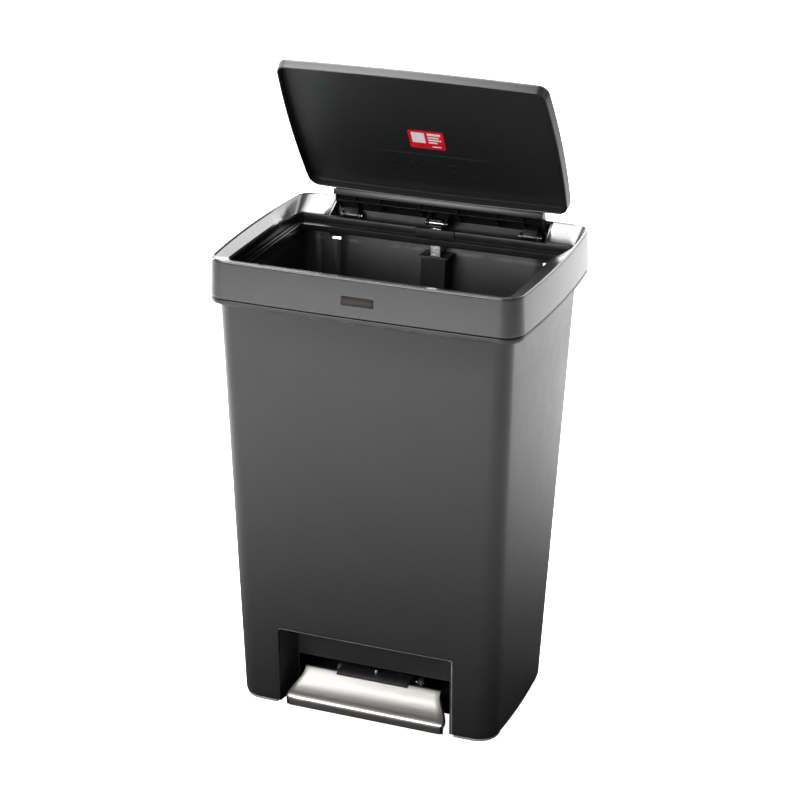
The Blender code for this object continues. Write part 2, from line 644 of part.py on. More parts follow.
def strip(outer, inner, spare=0.0):
    """Bent sheet between two side profiles, cut at each end to the tread's width."""
    bm = bmesh.new()
    rows = []
    for side in (-1, 1):
        for line in (outer, inner):
            rows.append([bm.verts.new((side * (tread_half_width(*outer[i]) + spare), y, z))
                         for i, (y, z) in enumerate(line)])
    left_out, left_in, right_out, right_in = rows
    around = [left_out, left_in, right_in, right_out]
    for low, high in zip(around, around[1:] + around[:1]):
        for i in range(len(outer) - 1):
            bm.faces.new((low[i], low[i + 1], high[i + 1], high[i]))
    for i in (0, -1):
        bm.faces.new([row[i] for row in around])
    return to_mesh(bm, "strip")


def make_pedal():
    outer = tread_line(0.0)
    cover = strip(outer, tread_line(1.2 * MM))
    add_part("pedal_cover", cover, STAINLESS, PEDAL_AXIS, round_piece=True)
    core = strip(tread_line(1.6 * MM)[7:], tread_line(4.6 * MM)[7:], 1.4 * MM)
    add_part("pedal_core", core, BLACK, PEDAL_AXIS, round_piece=True)


def make_lever():
    """Folded steel lever: a top plate over the bead, two cheeks and a cross finger behind."""
    inside = LEVER_HALF_W - 2.0 * MM
    profile = [
        (-106.0, 43.2), (-104.8, 43.2), (-104.0, 45.6), (-102.8, 46.3), (-82.0, 46.3), (-80.5, 42.4),
        (-64.0, 42.4), (-60.0, 36.0), (-20.0, 36.0),
        (-18.6, 38.5), (-24.0, 41.6), (-58.0, 44.4), (-79.4, 44.4), (-81.0, 47.9), (-103.4, 47.9),
        (-105.4, 46.6),
    ]
    lever = add_part("pedal_lever", slab([(y * MM, z * MM) for y, z in profile], -LEVER_HALF_W, LEVER_HALF_W),
                     BLACK_STEEL, PEDAL_AXIS)
    cheek = [(-92.0, 47.0), (-92.0, 34.0), (-78.0, 27.0), (-62.0, 27.0), (-40.0, 34.0), (-24.0, 38.0),
             (-24.0, 41.0), (-58.0, 43.6), (-80.0, 43.6), (-82.0, 47.0)]
    for side in (-1, 1):
        join(lever, slab([(y * MM, z * MM) for y, z in cheek], side * inside, side * LEVER_HALF_W), "UNION")
    clear = [(-60.0, 20.0), (-25.5, 20.0), (-25.5, 60.0), (-57.0, 60.0), (-60.5, 42.6)]
    join(lever, slab([(y * MM, z * MM) for y, z in clear], -inside, inside), "DIFFERENCE")
    join(lever, rod_x(FINGER_Y, FINGER_Z, -inside, inside, FINGER_R), "UNION")
    join(lever, rod_x(PEDAL_AXIS_Y, PEDAL_AXIS_Z, -60 * MM, 60 * MM, AXLE_R + 0.3 * MM), "DIFFERENCE")
    return lever


def make_pedal_screw():
    head_z = 47.9 * MM + GAP
    screw = add_part("pedal_screw", rod_z(0.0, -88.0 * MM, head_z, head_z + 3.0 * MM, 3.4 * MM, 2.6 * MM),
                     ZINC, PEDAL_AXIS, round_piece=True)
    slot = box((-4 * MM, -88.4 * MM, head_z + 2.0 * MM), (4 * MM, -87.6 * MM, head_z + 5.0 * MM))
    join(screw, slot, "DIFFERENCE")


def make_axle():
    axle = rod_x(PEDAL_AXIS_Y, PEDAL_AXIS_Z, -61.4 * MM, 61.4 * MM, AXLE_R)
    add_part("pedal_axle", axle, ZINC, round_piece=True)
    for side, name in ((-1, "axle_bracket_left"), (1, "axle_bracket_right")):
        profile = [(-84.0, 8.3), (-56.0, 8.3), (-56.0, 12.0), (-63.0, 38.0), (-66.0, 41.0), (-74.0, 41.0),
                   (-77.0, 38.0), (-84.0, 12.0)]
        bracket = add_part(name, slab([(y * MM, z * MM) for y, z in profile], side * 53.0 * MM, side * 61.0 * MM), BLACK)
        join(bracket, rod_x(PEDAL_AXIS_Y, PEDAL_AXIS_Z, side * 50.0 * MM, side * 66.0 * MM, AXLE_R + 0.15 * MM),
             "DIFFERENCE")


# ---- lift bar ---------------------------------------------------------------------------
def make_lift_bar():
    """Flat bar bent into an L: it stands in the rear channel with its foot over the finger."""
    half = BAR_THICK / 2
    top = CRANK_PIN_OPEN_Z - 7.0 * MM
    foot_tip = FINGER_Y - 8.0 * MM
    foot_top = BAR_FOOT_Z + BAR_THICK
    points = [
        (foot_tip, BAR_FOOT_Z), (bar_y(BAR_FOOT_Z) + half, BAR_FOOT_Z), (bar_y(top) + half, top),
        (bar_y(top) - half, top), (bar_y(foot_top) - half, foot_top), (foot_tip, foot_top),
    ]
    bar = add_part("lift_bar", slab(points, -BAR_HALF_W, BAR_HALF_W), ZINC, BAR_AXIS)
    bevel(bar, 0.4 * MM, 1)
    gusset = [(bar_y(foot_top) - 22.0 * MM, foot_top - 1 * MM), (bar_y(foot_top), foot_top - 1 * MM),
              (bar_y(foot_top + 0.022), foot_top + 22.0 * MM)]
    join(bar, slab(gusset, -1.5 * MM, 1.5 * MM), "UNION")


def make_bar_head():
    """Forked head on the bar: two jaws hold the crank pin, open to the front."""
    jaw = CRANK_PIN_R + 0.6 * MM
    pin = CRANK_PIN_OPEN_Z
    front = CRANK_PIN_Y - 3.6 * MM
    points = [
        (front, pin + jaw), (front, pin + jaw + 2.6 * MM), (CRANK_PIN_Y + 7.0 * MM, pin + jaw + 2.6 * MM),
        (CRANK_PIN_Y + 7.0 * MM, pin - 12.0 * MM), (CRANK_PIN_Y + 3.6 * MM, pin - 12.0 * MM),
        (CRANK_PIN_Y + 3.6 * MM, pin - jaw - 2.6 * MM), (front, pin - jaw - 2.6 * MM), (front, pin - jaw),
        (CRANK_PIN_Y + 4.6 * MM, pin - jaw), (CRANK_PIN_Y + 4.6 * MM, pin + jaw),
    ]
    head = add_part("lift_bar_head", slab(points, -9.0 * MM, 9.0 * MM), BLACK, BAR_AXIS)
    bevel(head, 0.4 * MM, 1)


def make_channel():
    """Cover that makes the lift bar's channel on the shell's rear wall."""
    low, high = BIN_FLOOR_Z + GAP, CHANNEL_TOP
    rings = []
    for z in (low, high):
        back = rear_wall_y(z) - 0.5 * MM
        face = rear_wall_y(z) - CHANNEL_DEPTH
        hollow = CHANNEL_HALF_W - CHANNEL_WALL
        rings.append(([
            (-CHANNEL_HALF_W, back), (-CHANNEL_HALF_W, face), (CHANNEL_HALF_W, face), (CHANNEL_HALF_W, back),
            (hollow, back), (hollow, face + CHANNEL_WALL), (-hollow, face + CHANNEL_WALL), (-hollow, back),
        ], z))
    channel = add_part("bar_channel", loft(rings), CHARCOAL)
    back, face, bar = rear_wall_y(high), rear_wall_y(high) - CHANNEL_DEPTH, bar_y(high)
    join(channel, box((-20.0 * MM, face - 1.2 * MM, high - 2.0 * MM), (20.0 * MM, back - 1.5 * MM, high)), "UNION")
    join(channel, box((-9.5 * MM, bar - 3.5 * MM, high - 4.0 * MM), (9.5 * MM, bar + 4.5 * MM, high + 2.0 * MM)),
         "DIFFERENCE")
    guide_z = 330.0 * MM
    middle = bar_y(guide_z)
    guide = add_part("bar_guide_bush", box((-14.5 * MM, middle - 6.2 * MM, guide_z - 6.0 * MM),
                                           (14.5 * MM, middle + 18.6 * MM, guide_z + 6.0 * MM)), BLACK)
    run = BAR_HALF_W + 0.6 * MM
    grip = BAR_THICK / 2 + 0.8 * MM
    join(guide, box((-run, middle - grip, guide_z - 9.0 * MM), (run, middle + grip, guide_z + 9.0 * MM)), "DIFFERENCE")


# ---- underside --------------------------------------------------------------------------
def make_base():
    """Cover plate under the mechanism bay, cut away for the pedal."""
    plan = shell_plan(FLOOR_GAP, SHELL_WALL + 0.8 * MM)
    base = add_part("base_plate", loft([(plan, 5.0 * MM), (plan, 8.0 * MM)]), BLACK)
    pedal_way = box((-RECESS_HALF_W - 6.0 * MM, -150.0 * MM, 0.0),
                    (RECESS_HALF_W + 6.0 * MM, RECESS_BACK_Y + 4.5 * MM, 20.0 * MM))
    join(base, pedal_way, "DIFFERENCE")
    number = 0
    for x in (-140.0, 140.0):
        for y in (-62.0, 32.0):
            number += 1
            join(base, rod_z(x * MM, y * MM, 0.0, 20.0 * MM, 2.4 * MM, segments=16), "DIFFERENCE")
            stem = rod_z(x * MM, y * MM, 3.3 * MM, 14.0 * MM, 2.0 * MM, segments=16)
            screw = add_part(f"base_screw_{number}", stem, ZINC, round_piece=True)
            join(screw, rod_z(x * MM, y * MM, 2.6 * MM, 4.7 * MM, 3.0 * MM, 4.2 * MM, segments=16), "UNION")


def make_feet():
    """Pads under the four corners."""
    plan = shell_plan(FLOOR_GAP, 1.6 * MM)
    corners = {
        "foot_front_left": ((-190.0, -140.0), (-124.5, -100.0)),
        "foot_front_right": ((124.5, -140.0), (190.0, -100.0)),
        "foot_rear_left": ((-190.0, 45.0), (-120.0, 110.0)),
        "foot_rear_right": ((120.0, 45.0), (190.0, 110.0)),
    }
    for name, (low, high) in corners.items():
        foot = add_part(name, loft([(grow(plan, -0.8 * MM), 0.0), (plan, 1.0 * MM), (plan, FLOOR_GAP - GAP)]), PAD)
        keep = box((low[0] * MM, low[1] * MM, -5.0 * MM), (high[0] * MM, high[1] * MM, 10.0 * MM))
        join(foot, keep, "INTERSECT")


make_shell()
make_collar()
make_inner_frame()
make_badge()
make_liner_ring()
make_guide_cover()
make_hinge_pins()
make_lid()
make_web()
make_crank_pin()
make_label()
make_pedal()
make_lever()
make_pedal_screw()
make_axle()
make_lift_bar()
make_bar_head()
make_channel()
make_base()
make_feet()
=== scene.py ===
"""Studio scene of a pedal bin: fine surfaces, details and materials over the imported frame."""
import math

import bmesh
import bpy
from mathutils import Matrix, Vector


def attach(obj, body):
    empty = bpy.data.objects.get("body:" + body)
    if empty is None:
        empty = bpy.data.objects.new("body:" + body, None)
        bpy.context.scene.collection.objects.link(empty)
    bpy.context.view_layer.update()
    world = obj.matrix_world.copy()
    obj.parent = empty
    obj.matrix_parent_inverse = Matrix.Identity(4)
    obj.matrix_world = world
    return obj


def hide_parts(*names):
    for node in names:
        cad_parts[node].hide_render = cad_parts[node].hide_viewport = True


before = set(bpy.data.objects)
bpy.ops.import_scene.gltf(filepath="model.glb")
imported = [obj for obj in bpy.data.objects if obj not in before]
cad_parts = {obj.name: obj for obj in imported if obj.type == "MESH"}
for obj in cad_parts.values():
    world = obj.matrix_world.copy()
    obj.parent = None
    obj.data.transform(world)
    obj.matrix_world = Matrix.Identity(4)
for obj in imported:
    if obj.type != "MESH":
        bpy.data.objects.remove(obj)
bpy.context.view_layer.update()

MM = 0.001

# ---- dimensions shared with the frame ------------------------------------------------------
FLOOR_GAP = 4.0 * MM
COLLAR_TOP = 620.0 * MM
COLLAR_BOTTOM = 570.7 * MM
WELL_TOP = 601.0 * MM
WELL_REAR = 117.0 * MM
LEDGE_Z = 586.8 * MM
SHELL_WALL = 2.8 * MM
SHELL_TOP_Z = 567.0 * MM
SHELL_RIM_Z = 584.0 * MM
LIP_TOP = 569.1 * MM
LIP_BOTTOM = 562.5 * MM
BIN_FLOOR_Z = 123.0 * MM
RECESS_HALF_W = 122.5 * MM
RECESS_REAR_HALF_W = 111.0 * MM
RECESS_TOP = 113.7 * MM
RECESS_BACK_Y = -91.0 * MM
RECESS_EDGE_Z = 56.5 * MM
HINGE_Y = 136.4 * MM
HINGE_Z = 599.5 * MM
LID_OPEN = math.radians(58.8)
LID_RIM_Z = 608.5 * MM
LID_TOP_Z = 622.9 * MM
LID_FRONT = -123.8 * MM
LID_REAR = 95.85 * MM
KNUCKLE_IN = 115.6 * MM
KNUCKLE_OUT = 134.6 * MM
POCKET_HALF_W = 149.0 * MM
POCKET_REAR = 148.2 * MM
EAR_RADIUS = 5.2 * MM
EAR_GAP = 0.5 * MM
EAR_REACH = 4.5 * MM
PIN_BORE = 2.25 * MM
FRAME_WALL = 1.8 * MM
LEDGE_THICK = 2.5 * MM
BADGE_HALF_W = 21.0 * MM
BADGE_SEAT_Y = -155.3 * MM
BADGE_LOW = 586.3 * MM
BADGE_HIGH = 597.7 * MM

# The mouth's edge is lifted and drawn in: not at all behind MOUTH_REAR, fully from MOUTH_FADE further
# forward. MOUTH_DRAW is the share it is drawn in along X and Y.
MOUTH_REAR = 95.0 * MM
MOUTH_FADE = 75.0 * MM
MOUTH_LIFT = 11.5 * MM
MOUTH_DRAW = (0.0463, 0.057)

# Slits in the rear wall, rail along the lid's hinge edge, label, raised marks under the lid.
SLIT_LOW = (142.0 * MM, 125.0 * MM, 561.5 * MM)
SLIT_HIGH = (155.0 * MM, 170.0 * MM, 565.5 * MM)
RAIL_FACE = [(y * MM, z * MM) for y, z in ((120.4, 630.6), (123.7, 630.6), (123.7, 638.4), (122.5, 638.4))]
RAIL_HALF_W = 145.5 * MM
LABEL_LOW = 620.95 * MM
LABEL_HIGH = 621.2 * MM
RAISED_LINES = ((-72.0, 84.0, 25.0), (-63.0, 42.0, 70.0), (52.0, 62.0, 58.0))    # from x, to x, y in mm
RAISED_RINGS = (    # radius, count, first x, y, step in mm
    (6.0, 4, -52.0, 47.0, 26.0),
    (2.2, 7, -60.0, 35.0, 9.0),
    (1.6, 9, 18.0, 33.5, 6.5),
)

# How edges are joined, rounded and shaded.
WELD_REACH = 0.00002
BEVEL_SEGMENTS = 2
SMOOTH_ANGLE = math.radians(30.0)
WHITE = (1.0, 1.0, 1.0, 1.0)

# Heights well below and above the collar, for cuts right through it.
CUT_LOW = 0.58
CUT_HIGH = 0.64


# ---- meshes --------------------------------------------------------------------------------
def ease(value):
    """Smooth step from 0 to 1, flat at both ends."""
    share = min(max(value, 0.0), 1.0)
    return share * share * (3.0 - 2.0 * share)


def outline(half_w, front, rear, side_bow, end_bow, r_front, r_rear=None, sides=16, turns=12):
    """Plan of a rounded rectangle with bowed sides, anticlockwise, as (x, y) points."""
    r_rear = r_front if r_rear is None else r_rear
    corners = [
        ((half_w - r_front, front + r_front), r_front, -90.0, end_bow, side_bow),
        ((half_w - r_rear, rear - r_rear), r_rear, 0.0, side_bow, end_bow),
        ((r_rear - half_w, rear - r_rear), r_rear, 90.0, end_bow, side_bow),
        ((r_front - half_w, front + r_front), r_front, 180.0, side_bow, end_bow),
    ]
    across = 2 * (half_w - max(r_front, r_rear))
    along = (rear - front) - r_front - r_rear
    lean = {end_bow: math.atan(4 * end_bow / across), side_bow: math.atan(4 * side_bow / along)}
    arcs = []
    for (cx, cy), radius, start, bow_in, bow_out in corners:
        first = math.radians(start) + lean[bow_in]
        last = math.radians(start + 90.0) - lean[bow_out]
        arcs.append([
            (cx + radius * math.cos(first + (last - first) * i / turns),
             cy + radius * math.sin(first + (last - first) * i / turns))
            for i in range(turns + 1)
        ])
    points = []
    bows = [side_bow, end_bow, side_bow, end_bow]
    for index, corner in enumerate(arcs):
        points += corner
        start, end = Vector(corner[-1]), Vector(arcs[(index + 1) % 4][0])
        run = end - start
        out = Vector((run.y, -run.x)).normalized()
        for step in range(1, sides):
            t = step / sides
            spot = start + run * t + out * (4 * bows[index] * t * (1 - t))
            points.append((spot.x, spot.y))
    return points


def grow(plan, distance):
    """Offset a closed plan outwards along its own normals."""
    grown = []
    count = len(plan)
    for index, (x, y) in enumerate(plan):
        run = Vector(plan[(index + 1) % count]) - Vector(plan[index - 1])
        out = Vector((run.y, -run.x)).normalized()
        grown.append((x + out.x * distance, y + out.y * distance))
    return grown


def to_mesh(bm, name):
    """Plain mesh of a closed shape, with its faces pointing outwards."""
    bmesh.ops.recalc_face_normals(bm, faces=bm.faces)
    if bm.calc_volume(signed=True) < 0:
        bmesh.ops.reverse_faces(bm, faces=bm.faces)
    mesh = bpy.data.meshes.new(name)
    bm.to_mesh(mesh)
    bm.free()
    return mesh


def skin(rows, loop=False):
    """Closed mesh through rows of 3-D points, capped at both ends or joined into a ring."""
    bm = bmesh.new()
    made = [[bm.verts.new(point) for point in row] for row in rows]
    count = len(made[0])
    pairs = list(zip(made, made[1:]))
    if loop:
        pairs.append((made[-1], made[0]))
    for low, high in pairs:
        for i in range(count):
            j = (i + 1) % count
            bm.faces.new((low[i], low[j], high[j], high[i]))
    if not loop:
        bm.faces.new(made[0])
        bm.faces.new(made[-1])
    return to_mesh(bm, "skin")


def loft(rings, loop=False):
    """Skin a list of (plan, z) rings."""
    return skin([[(x, y, z) for x, y in plan] for plan, z in rings], loop)


def box(low, high):
    """Block between two opposite corners."""
    low, high = Vector(map(min, low, high)), Vector(map(max, low, high))
    bm = bmesh.new()
    bmesh.ops.create_cube(bm, size=1.0)
    bm.transform(Matrix.Translation((low + high) / 2) @ Matrix.Diagonal((*(high - low), 1.0)))
    return to_mesh(bm, "box")


def slab(points, x_from, x_to):
    """A flat outline of (y, z) points, given its thickness along X."""
    return skin([[(x, y, z) for y, z in points] for x in (x_from, x_to)])


def rod_x(y, z, x_from, x_to, radius, segments=40):
    """Round bar along X."""
    angles = [math.tau * i / segments for i in range(segments)]
    return slab([(y + radius * math.cos(a), z + radius * math.sin(a)) for a in angles], x_from, x_to)


def arc(cy, cz, radius, first, last, steps=12):
    """Points on an arc in the (y, z) plane, between two angles in degrees."""
    angles = [math.radians(first + (last - first) * i / steps) for i in range(steps + 1)]
    return [(cy + radius * math.cos(a), cz + radius * math.sin(a)) for a in angles]


def new_object(name, mesh, material=None):
    """Object at the origin, in the scene, with one material if it is given."""
    made = bpy.data.objects.new(name, mesh)
    bpy.context.scene.collection.objects.link(made)
    if material:
        mesh.materials.clear()
        mesh.materials.append(material)
    return made


def carve(target, steps):
    """Run Boolean steps of (operation, mesh) and keep the result as plain mesh."""
    tools = []
    for operation, mesh in steps:
        tool = new_object(f"{target.name}_tool", mesh)
        step = target.modifiers.new("carve", "BOOLEAN")
        step.operation = operation
        step.object = tool
        tools.append(tool)
    settle(target)
    for tool in tools:
        bpy.data.objects.remove(tool, do_unlink=True)


def settle(target):
    """Turn an object's modifiers into plain mesh."""
    view = bpy.context.evaluated_depsgraph_get()
    mesh = bpy.data.meshes.new_from_object(target.evaluated_get(view), depsgraph=view)
    target.modifiers.clear()
    target.data = mesh


def soften(target, width, angle=32.0, live=False):
    """Rounded edges, then smooth shading that stops at real corners.

    The modifiers become plain mesh, or stay live on a node of the frame.
    """
    weld = target.modifiers.new("weld", "WELD")
    weld.merge_threshold = WELD_REACH
    if width:
        step = target.modifiers.new("edges", "BEVEL")
        step.width = width
        step.segments = BEVEL_SEGMENTS
        step.limit_method = "ANGLE"
        step.angle_limit = math.radians(angle)
        step.use_clamp_overlap = True
    smooth = target.modifiers.new("smooth", "NODES")
    smooth.node_group = SMOOTH_TREE
    if not live:
        settle(target)


def make_smooth_tree():
    """Geometry nodes that shade faces smooth, except across edges steeper than SMOOTH_ANGLE."""
    tree = bpy.data.node_groups.new("smooth_by_angle", "GeometryNodeTree")
    tree.interface.new_socket("Geometry", in_out="INPUT", socket_type="NodeSocketGeometry")
    tree.interface.new_socket("Geometry", in_out="OUTPUT", socket_type="NodeSocketGeometry")
    start = tree.nodes.new("NodeGroupInput")
    end = tree.nodes.new("NodeGroupOutput")
    faces = tree.nodes.new("GeometryNodeSetShadeSmooth")
    faces.domain = "FACE"
    edges = tree.nodes.new("GeometryNodeSetShadeSmooth")
    edges.domain = "EDGE"
    edges.inputs["Shade Smooth"].default_value = False
    angle = tree.nodes.new("GeometryNodeInputMeshEdgeAngle")
    steep = tree.nodes.new("FunctionNodeCompare")
    steep.operation = "GREATER_THAN"
    steep.inputs["B"].default_value = SMOOTH_ANGLE
    tree.links.new(start.outputs[0], faces.inputs["Geometry"])
    tree.links.new(faces.outputs[0], edges.inputs["Geometry"])
    tree.links.new(angle.outputs["Unsigned Angle"], steep.inputs["A"])
    tree.links.new(steep.outputs[0], edges.inputs["Selection"])
    tree.links.new(edges.outputs[0], end.inputs[0])
    return tree


SMOOTH_TREE = make_smooth_tree()


def make_row_tree():
    """Geometry nodes that set copies of a piece along a line, evenly, and realise them."""
    tree = bpy.data.node_groups.new("row_of_pieces", "GeometryNodeTree")
    sockets = {
        "Geometry": "NodeSocketGeometry",
        "Count": "NodeSocketInt",
        "Start": "NodeSocketVector",
        "Step": "NodeSocketVector",
        "Material": "NodeSocketMaterial",
    }
    for label, kind in sockets.items():
        tree.interface.new_socket(label, in_out="INPUT", socket_type=kind)
    tree.interface.new_socket("Geometry", in_out="OUTPUT", socket_type="NodeSocketGeometry")
    start = tree.nodes.new("NodeGroupInput")
    end = tree.nodes.new("NodeGroupOutput")
    line = tree.nodes.new("GeometryNodeMeshLine")
    place = tree.nodes.new("GeometryNodeInstanceOnPoints")
    real = tree.nodes.new("GeometryNodeRealizeInstances")
    paint = tree.nodes.new("GeometryNodeSetMaterial")
    tree.links.new(start.outputs["Count"], line.inputs["Count"])
    tree.links.new(start.outputs["Start"], line.inputs["Start Location"])
    tree.links.new(start.outputs["Step"], line.inputs["Offset"])
    tree.links.new(line.outputs[0], place.inputs["Points"])
    tree.links.new(start.outputs["Geometry"], place.inputs["Instance"])
    tree.links.new(place.outputs[0], real.inputs[0])
    tree.links.new(real.outputs[0], paint.inputs["Geometry"])
    tree.links.new(start.outputs["Material"], paint.inputs["Material"])
    tree.links.new(paint.outputs[0], end.inputs[0])
    return tree


ROW_TREE = make_row_tree()


def row_of(name, mesh, count, start, step, material):
    """Even copies of a small mesh, drawn round the origin, as one plain mesh."""
    made = new_object(name, mesh)
    nodes = made.modifiers.new("row", "NODES")
    nodes.node_group = ROW_TREE
    values = {"Count": count, "Start": start, "Step": step, "Material": material}
    for item in ROW_TREE.interface.items_tree:
        if item.in_out == "INPUT" and item.name in values:
            nodes[item.identifier] = values[item.name]
    settle(made)
    return made


def open_lid(mesh):
    """Turn a mesh drawn with the lid closed to the resting, open lid."""
    hinge = Matrix.Translation((0.0, HINGE_Y, HINGE_Z))
    mesh.transform(hinge @ Matrix.Rotation(-LID_OPEN, 4, "X") @ hinge.inverted())
    return mesh


# ---- materials -----------------------------------------------------------------------------
def feed(tree, target, item):
    """Link a value to a socket, or set the socket to a plain number or colour."""
    if isinstance(item, Value):
        tree.links.new(item.socket, target)
    else:
        target.default_value = item


class Value:
    """A shader socket that takes part in sums like a number."""

    def __init__(self, tree, socket):
        self.tree = tree
        self.socket = socket

    def math(self, operation, *items):
        node = self.tree.nodes.new("ShaderNodeMath")
        node.operation = operation
        for target, item in zip(node.inputs, items):
            feed(self.tree, target, item)
        return Value(self.tree, node.outputs[0])

    def __add__(self, other):
        return self.math("ADD", self, other)

    def __sub__(self, other):
        return self.math("SUBTRACT", self, other)

    def __mul__(self, other):
        return self.math("MULTIPLY", self, other)

    def __rsub__(self, other):
        return self.math("SUBTRACT", other, self)

    def __gt__(self, other):
        return self.math("GREATER_THAN", self, other)

    def __lt__(self, other):
        return self.math("LESS_THAN", self, other)

    def __abs__(self):
        return self.math("ABSOLUTE", self)

    def larger(self, other):
        return self.math("MAXIMUM", self, other)

    __radd__ = __add__
    __rmul__ = __mul__


class Surface:
    """A Principled material that is put together from sockets."""

    def __init__(self, name, **uniform):
        self.material = bpy.data.materials.new(name)
        self.material.use_nodes = True
        self.tree = self.material.node_tree
        self.shader = self.tree.nodes["Principled BSDF"]
        for key, value in uniform.items():
            self.shader.inputs[key.replace("_", " ")].default_value = value
        self.place = self.node("ShaderNodeTexCoord", out="Object")
        split = self.tree.nodes.new("ShaderNodeSeparateXYZ")
        self.tree.links.new(self.place.socket, split.inputs[0])
        self.x, self.y, self.z = (Value(self.tree, socket) for socket in split.outputs)

    def node(self, kind, settings=(), out=0, **inputs):
        """Any node: its settings come first, then its sockets, by name or by number as i0, i1, ..."""
        made = self.tree.nodes.new(kind)
        for key, value in dict(settings).items():
            setattr(made, key, value)
        for key, item in inputs.items():
            numbered = key[0] == "i" and key[1:].isdigit()
            feed(self.tree, made.inputs[int(key[1:]) if numbered else key.replace("_", " ")], item)
        return Value(self.tree, made.outputs[out])

    def noise(self, scale, detail=3.0, stretch=(1.0, 1.0, 1.0), roughness=0.5):
        """Cloudy noise over the piece; a small stretch draws it out along that axis."""
        place = self.node("ShaderNodeVectorMath", {"operation": "MULTIPLY"}, i0=self.place, i1=stretch)
        return self.node("ShaderNodeTexNoise", Vector=place, Scale=scale, Detail=detail,
                         Roughness=roughness)

    def cells(self, scale):
        """Distance from scattered points, for specks."""
        return self.node("ShaderNodeTexVoronoi", Vector=self.place, Scale=scale)

    def ramp(self, value, low, high, start=0.0, end=1.0):
        """Smooth change from start to end as value goes from low to high."""
        return self.node("ShaderNodeMapRange", {"interpolation_type": "SMOOTHSTEP"},
                         i0=value, i1=low, i2=high, i3=start, i4=end)

    def mix(self, share, one, other):
        """Colour that goes from one to other as share goes from 0 to 1."""
        one, other = [c if isinstance(c, Value) else (*c, 1.0) for c in (one, other)]
        return self.node("ShaderNodeMix", {"data_type": "RGBA"}, out=2, i0=share, i6=one, i7=other)

    def paint(self, **links):
        """Feed what changes over the surface to the shader."""
        for key, item in links.items():
            feed(self.tree, self.shader.inputs[key.replace("_", " ")], item)

    def bump(self, height, distance, strength):
        """Fine relief of the surface."""
        self.paint(Normal=self.node("ShaderNodeBump", Height=height, Distance=distance, Strength=strength))


DUST = (0.55, 0.54, 0.52)
# Painted highlight along the recess's top edge and right side: its colour, width, the front it lies on and
# its corner.
EDGE_HIGHLIGHT = (0.30, 0.29, 0.28)
EDGE_HIGHLIGHT_WIDTH = 0.8 * MM
EDGE_HIGHLIGHT_FRONT_Y = -120.0 * MM
EDGE_HIGHLIGHT_CORNER = 4.2 * MM


def moulded(name, color, roughness, grain=0.00004, specks=0.35, highlight_bands=(), edges=(), smear=0.015,
            **uniform):
    """Moulded plastic: spark-eroded grain, cloudy sheen and fine dust.

    The list of heights and reaches gives pale bands round edges: painted highlights, broken into patches.
    The half width and top given in edges are those of an opening in the front, with a painted highlight line
    along its top and its right side.
    """
    made = Surface(name, **uniform)
    cloud = made.noise(9.0, 4.0)
    fine = made.noise(1900.0, 2.0)
    blotches = made.noise(45.0, 5.0)
    tone = made.ramp(cloud, 0.3, 0.7, 0.88, 1.12) * made.ramp(fine, 0.2, 0.8, 0.94, 1.06)
    dark = tuple(c * (1 - 2.4 * smear) for c in color)
    light = tuple(c * (1 + 2.4 * smear) for c in color)
    base = made.mix(made.ramp(tone, 0.85, 1.15), dark, light)
    pale = tuple(min(c * 3.0 + 0.05, 1.0) for c in color)
    # Painted highlight: a pale band round each given height, broken into patches.
    for height, reach in highlight_bands:
        near = made.ramp(abs(made.z - height), 0.0, reach, 1.0, 0.0)
        base = made.mix(near * made.ramp(blotches, 0.42, 0.66) * 0.55, base, pale)
    # Painted highlight: a pale line along the opening's top edge and right side, broken into patches.
    for half, top in edges:
        rim = abs((made.x - half).larger(made.z - top)) < EDGE_HIGHLIGHT_WIDTH
        rim = rim * (made.y < EDGE_HIGHLIGHT_FRONT_Y) * (made.x > EDGE_HIGHLIGHT_CORNER - half)
        base = made.mix(rim * made.ramp(blotches, 0.25, 0.65, 0.35, 0.9), base, EDGE_HIGHLIGHT)
    dust = (made.cells(420.0) < 0.085) * (made.noise(130.0, 2.0) > 0.57)
    base = made.mix(dust * specks, base, DUST)
    shine = made.ramp(blotches, 0.3, 0.7, roughness - smear, roughness + smear) + dust * 0.2
    made.paint(Base_Color=base, Roughness=shine)
    made.bump(fine * 0.7 + made.noise(700.0, 2.0) * 0.3, grain, 0.6)
    return made.material


def brushed(name, color, roughness, along=(0.02, 1.0, 1.0), **uniform):
    """Rolled steel with brush lines, faint smears and a few handling marks."""
    made = Surface(name, Metallic=1.0, **uniform)
    lines = made.noise(2600.0, 3.0, along, 0.6)
    broad = made.noise(420.0, 2.0, along)
    smear = made.noise(26.0, 4.0)
    tone = made.ramp(lines * 0.6 + broad * 0.4, 0.35, 0.65)
    base = made.mix(tone, tuple(c * 0.92 for c in color), color)
    base = made.mix(made.ramp(smear, 0.55, 0.72) * 0.08, base, tuple(c * 0.6 for c in color))
    shine = made.ramp(lines, 0.3, 0.7, roughness - 0.03, roughness + 0.04)
    made.paint(Base_Color=base, Roughness=shine)
    made.bump(lines, 0.000006, 0.7)
    return made.material


def coated(name, color, roughness):
    """Powder-coated steel: fine orange peel, paler where it is rubbed."""
    made = Surface(name)
    peel = made.noise(1100.0, 2.0)
    scuff = made.noise(160.0, 5.0, (0.3, 1.0, 1.0))
    base = made.mix(made.ramp(scuff, 0.62, 0.74) * 0.5, color, (0.22, 0.22, 0.23))
    made.paint(Base_Color=base, Roughness=made.ramp(scuff, 0.3, 0.7, roughness, roughness + 0.12))
    made.bump(peel, 0.00006, 0.6)
    return made.material


def rubbery(name, color):
    """Matt rubber with a fine, scuffed grain."""
    made = Surface(name, Specular_IOR_Level=0.3)
    grain = made.noise(900.0, 3.0)
    base = made.mix(made.ramp(made.noise(40.0, 4.0), 0.35, 0.7), color, tuple(c * 0.7 for c in color))
    made.paint(Base_Color=base, Roughness=made.ramp(grain, 0.3, 0.7, 0.62, 0.78))
    made.bump(grain, 0.0001, 0.8)
    return made.material
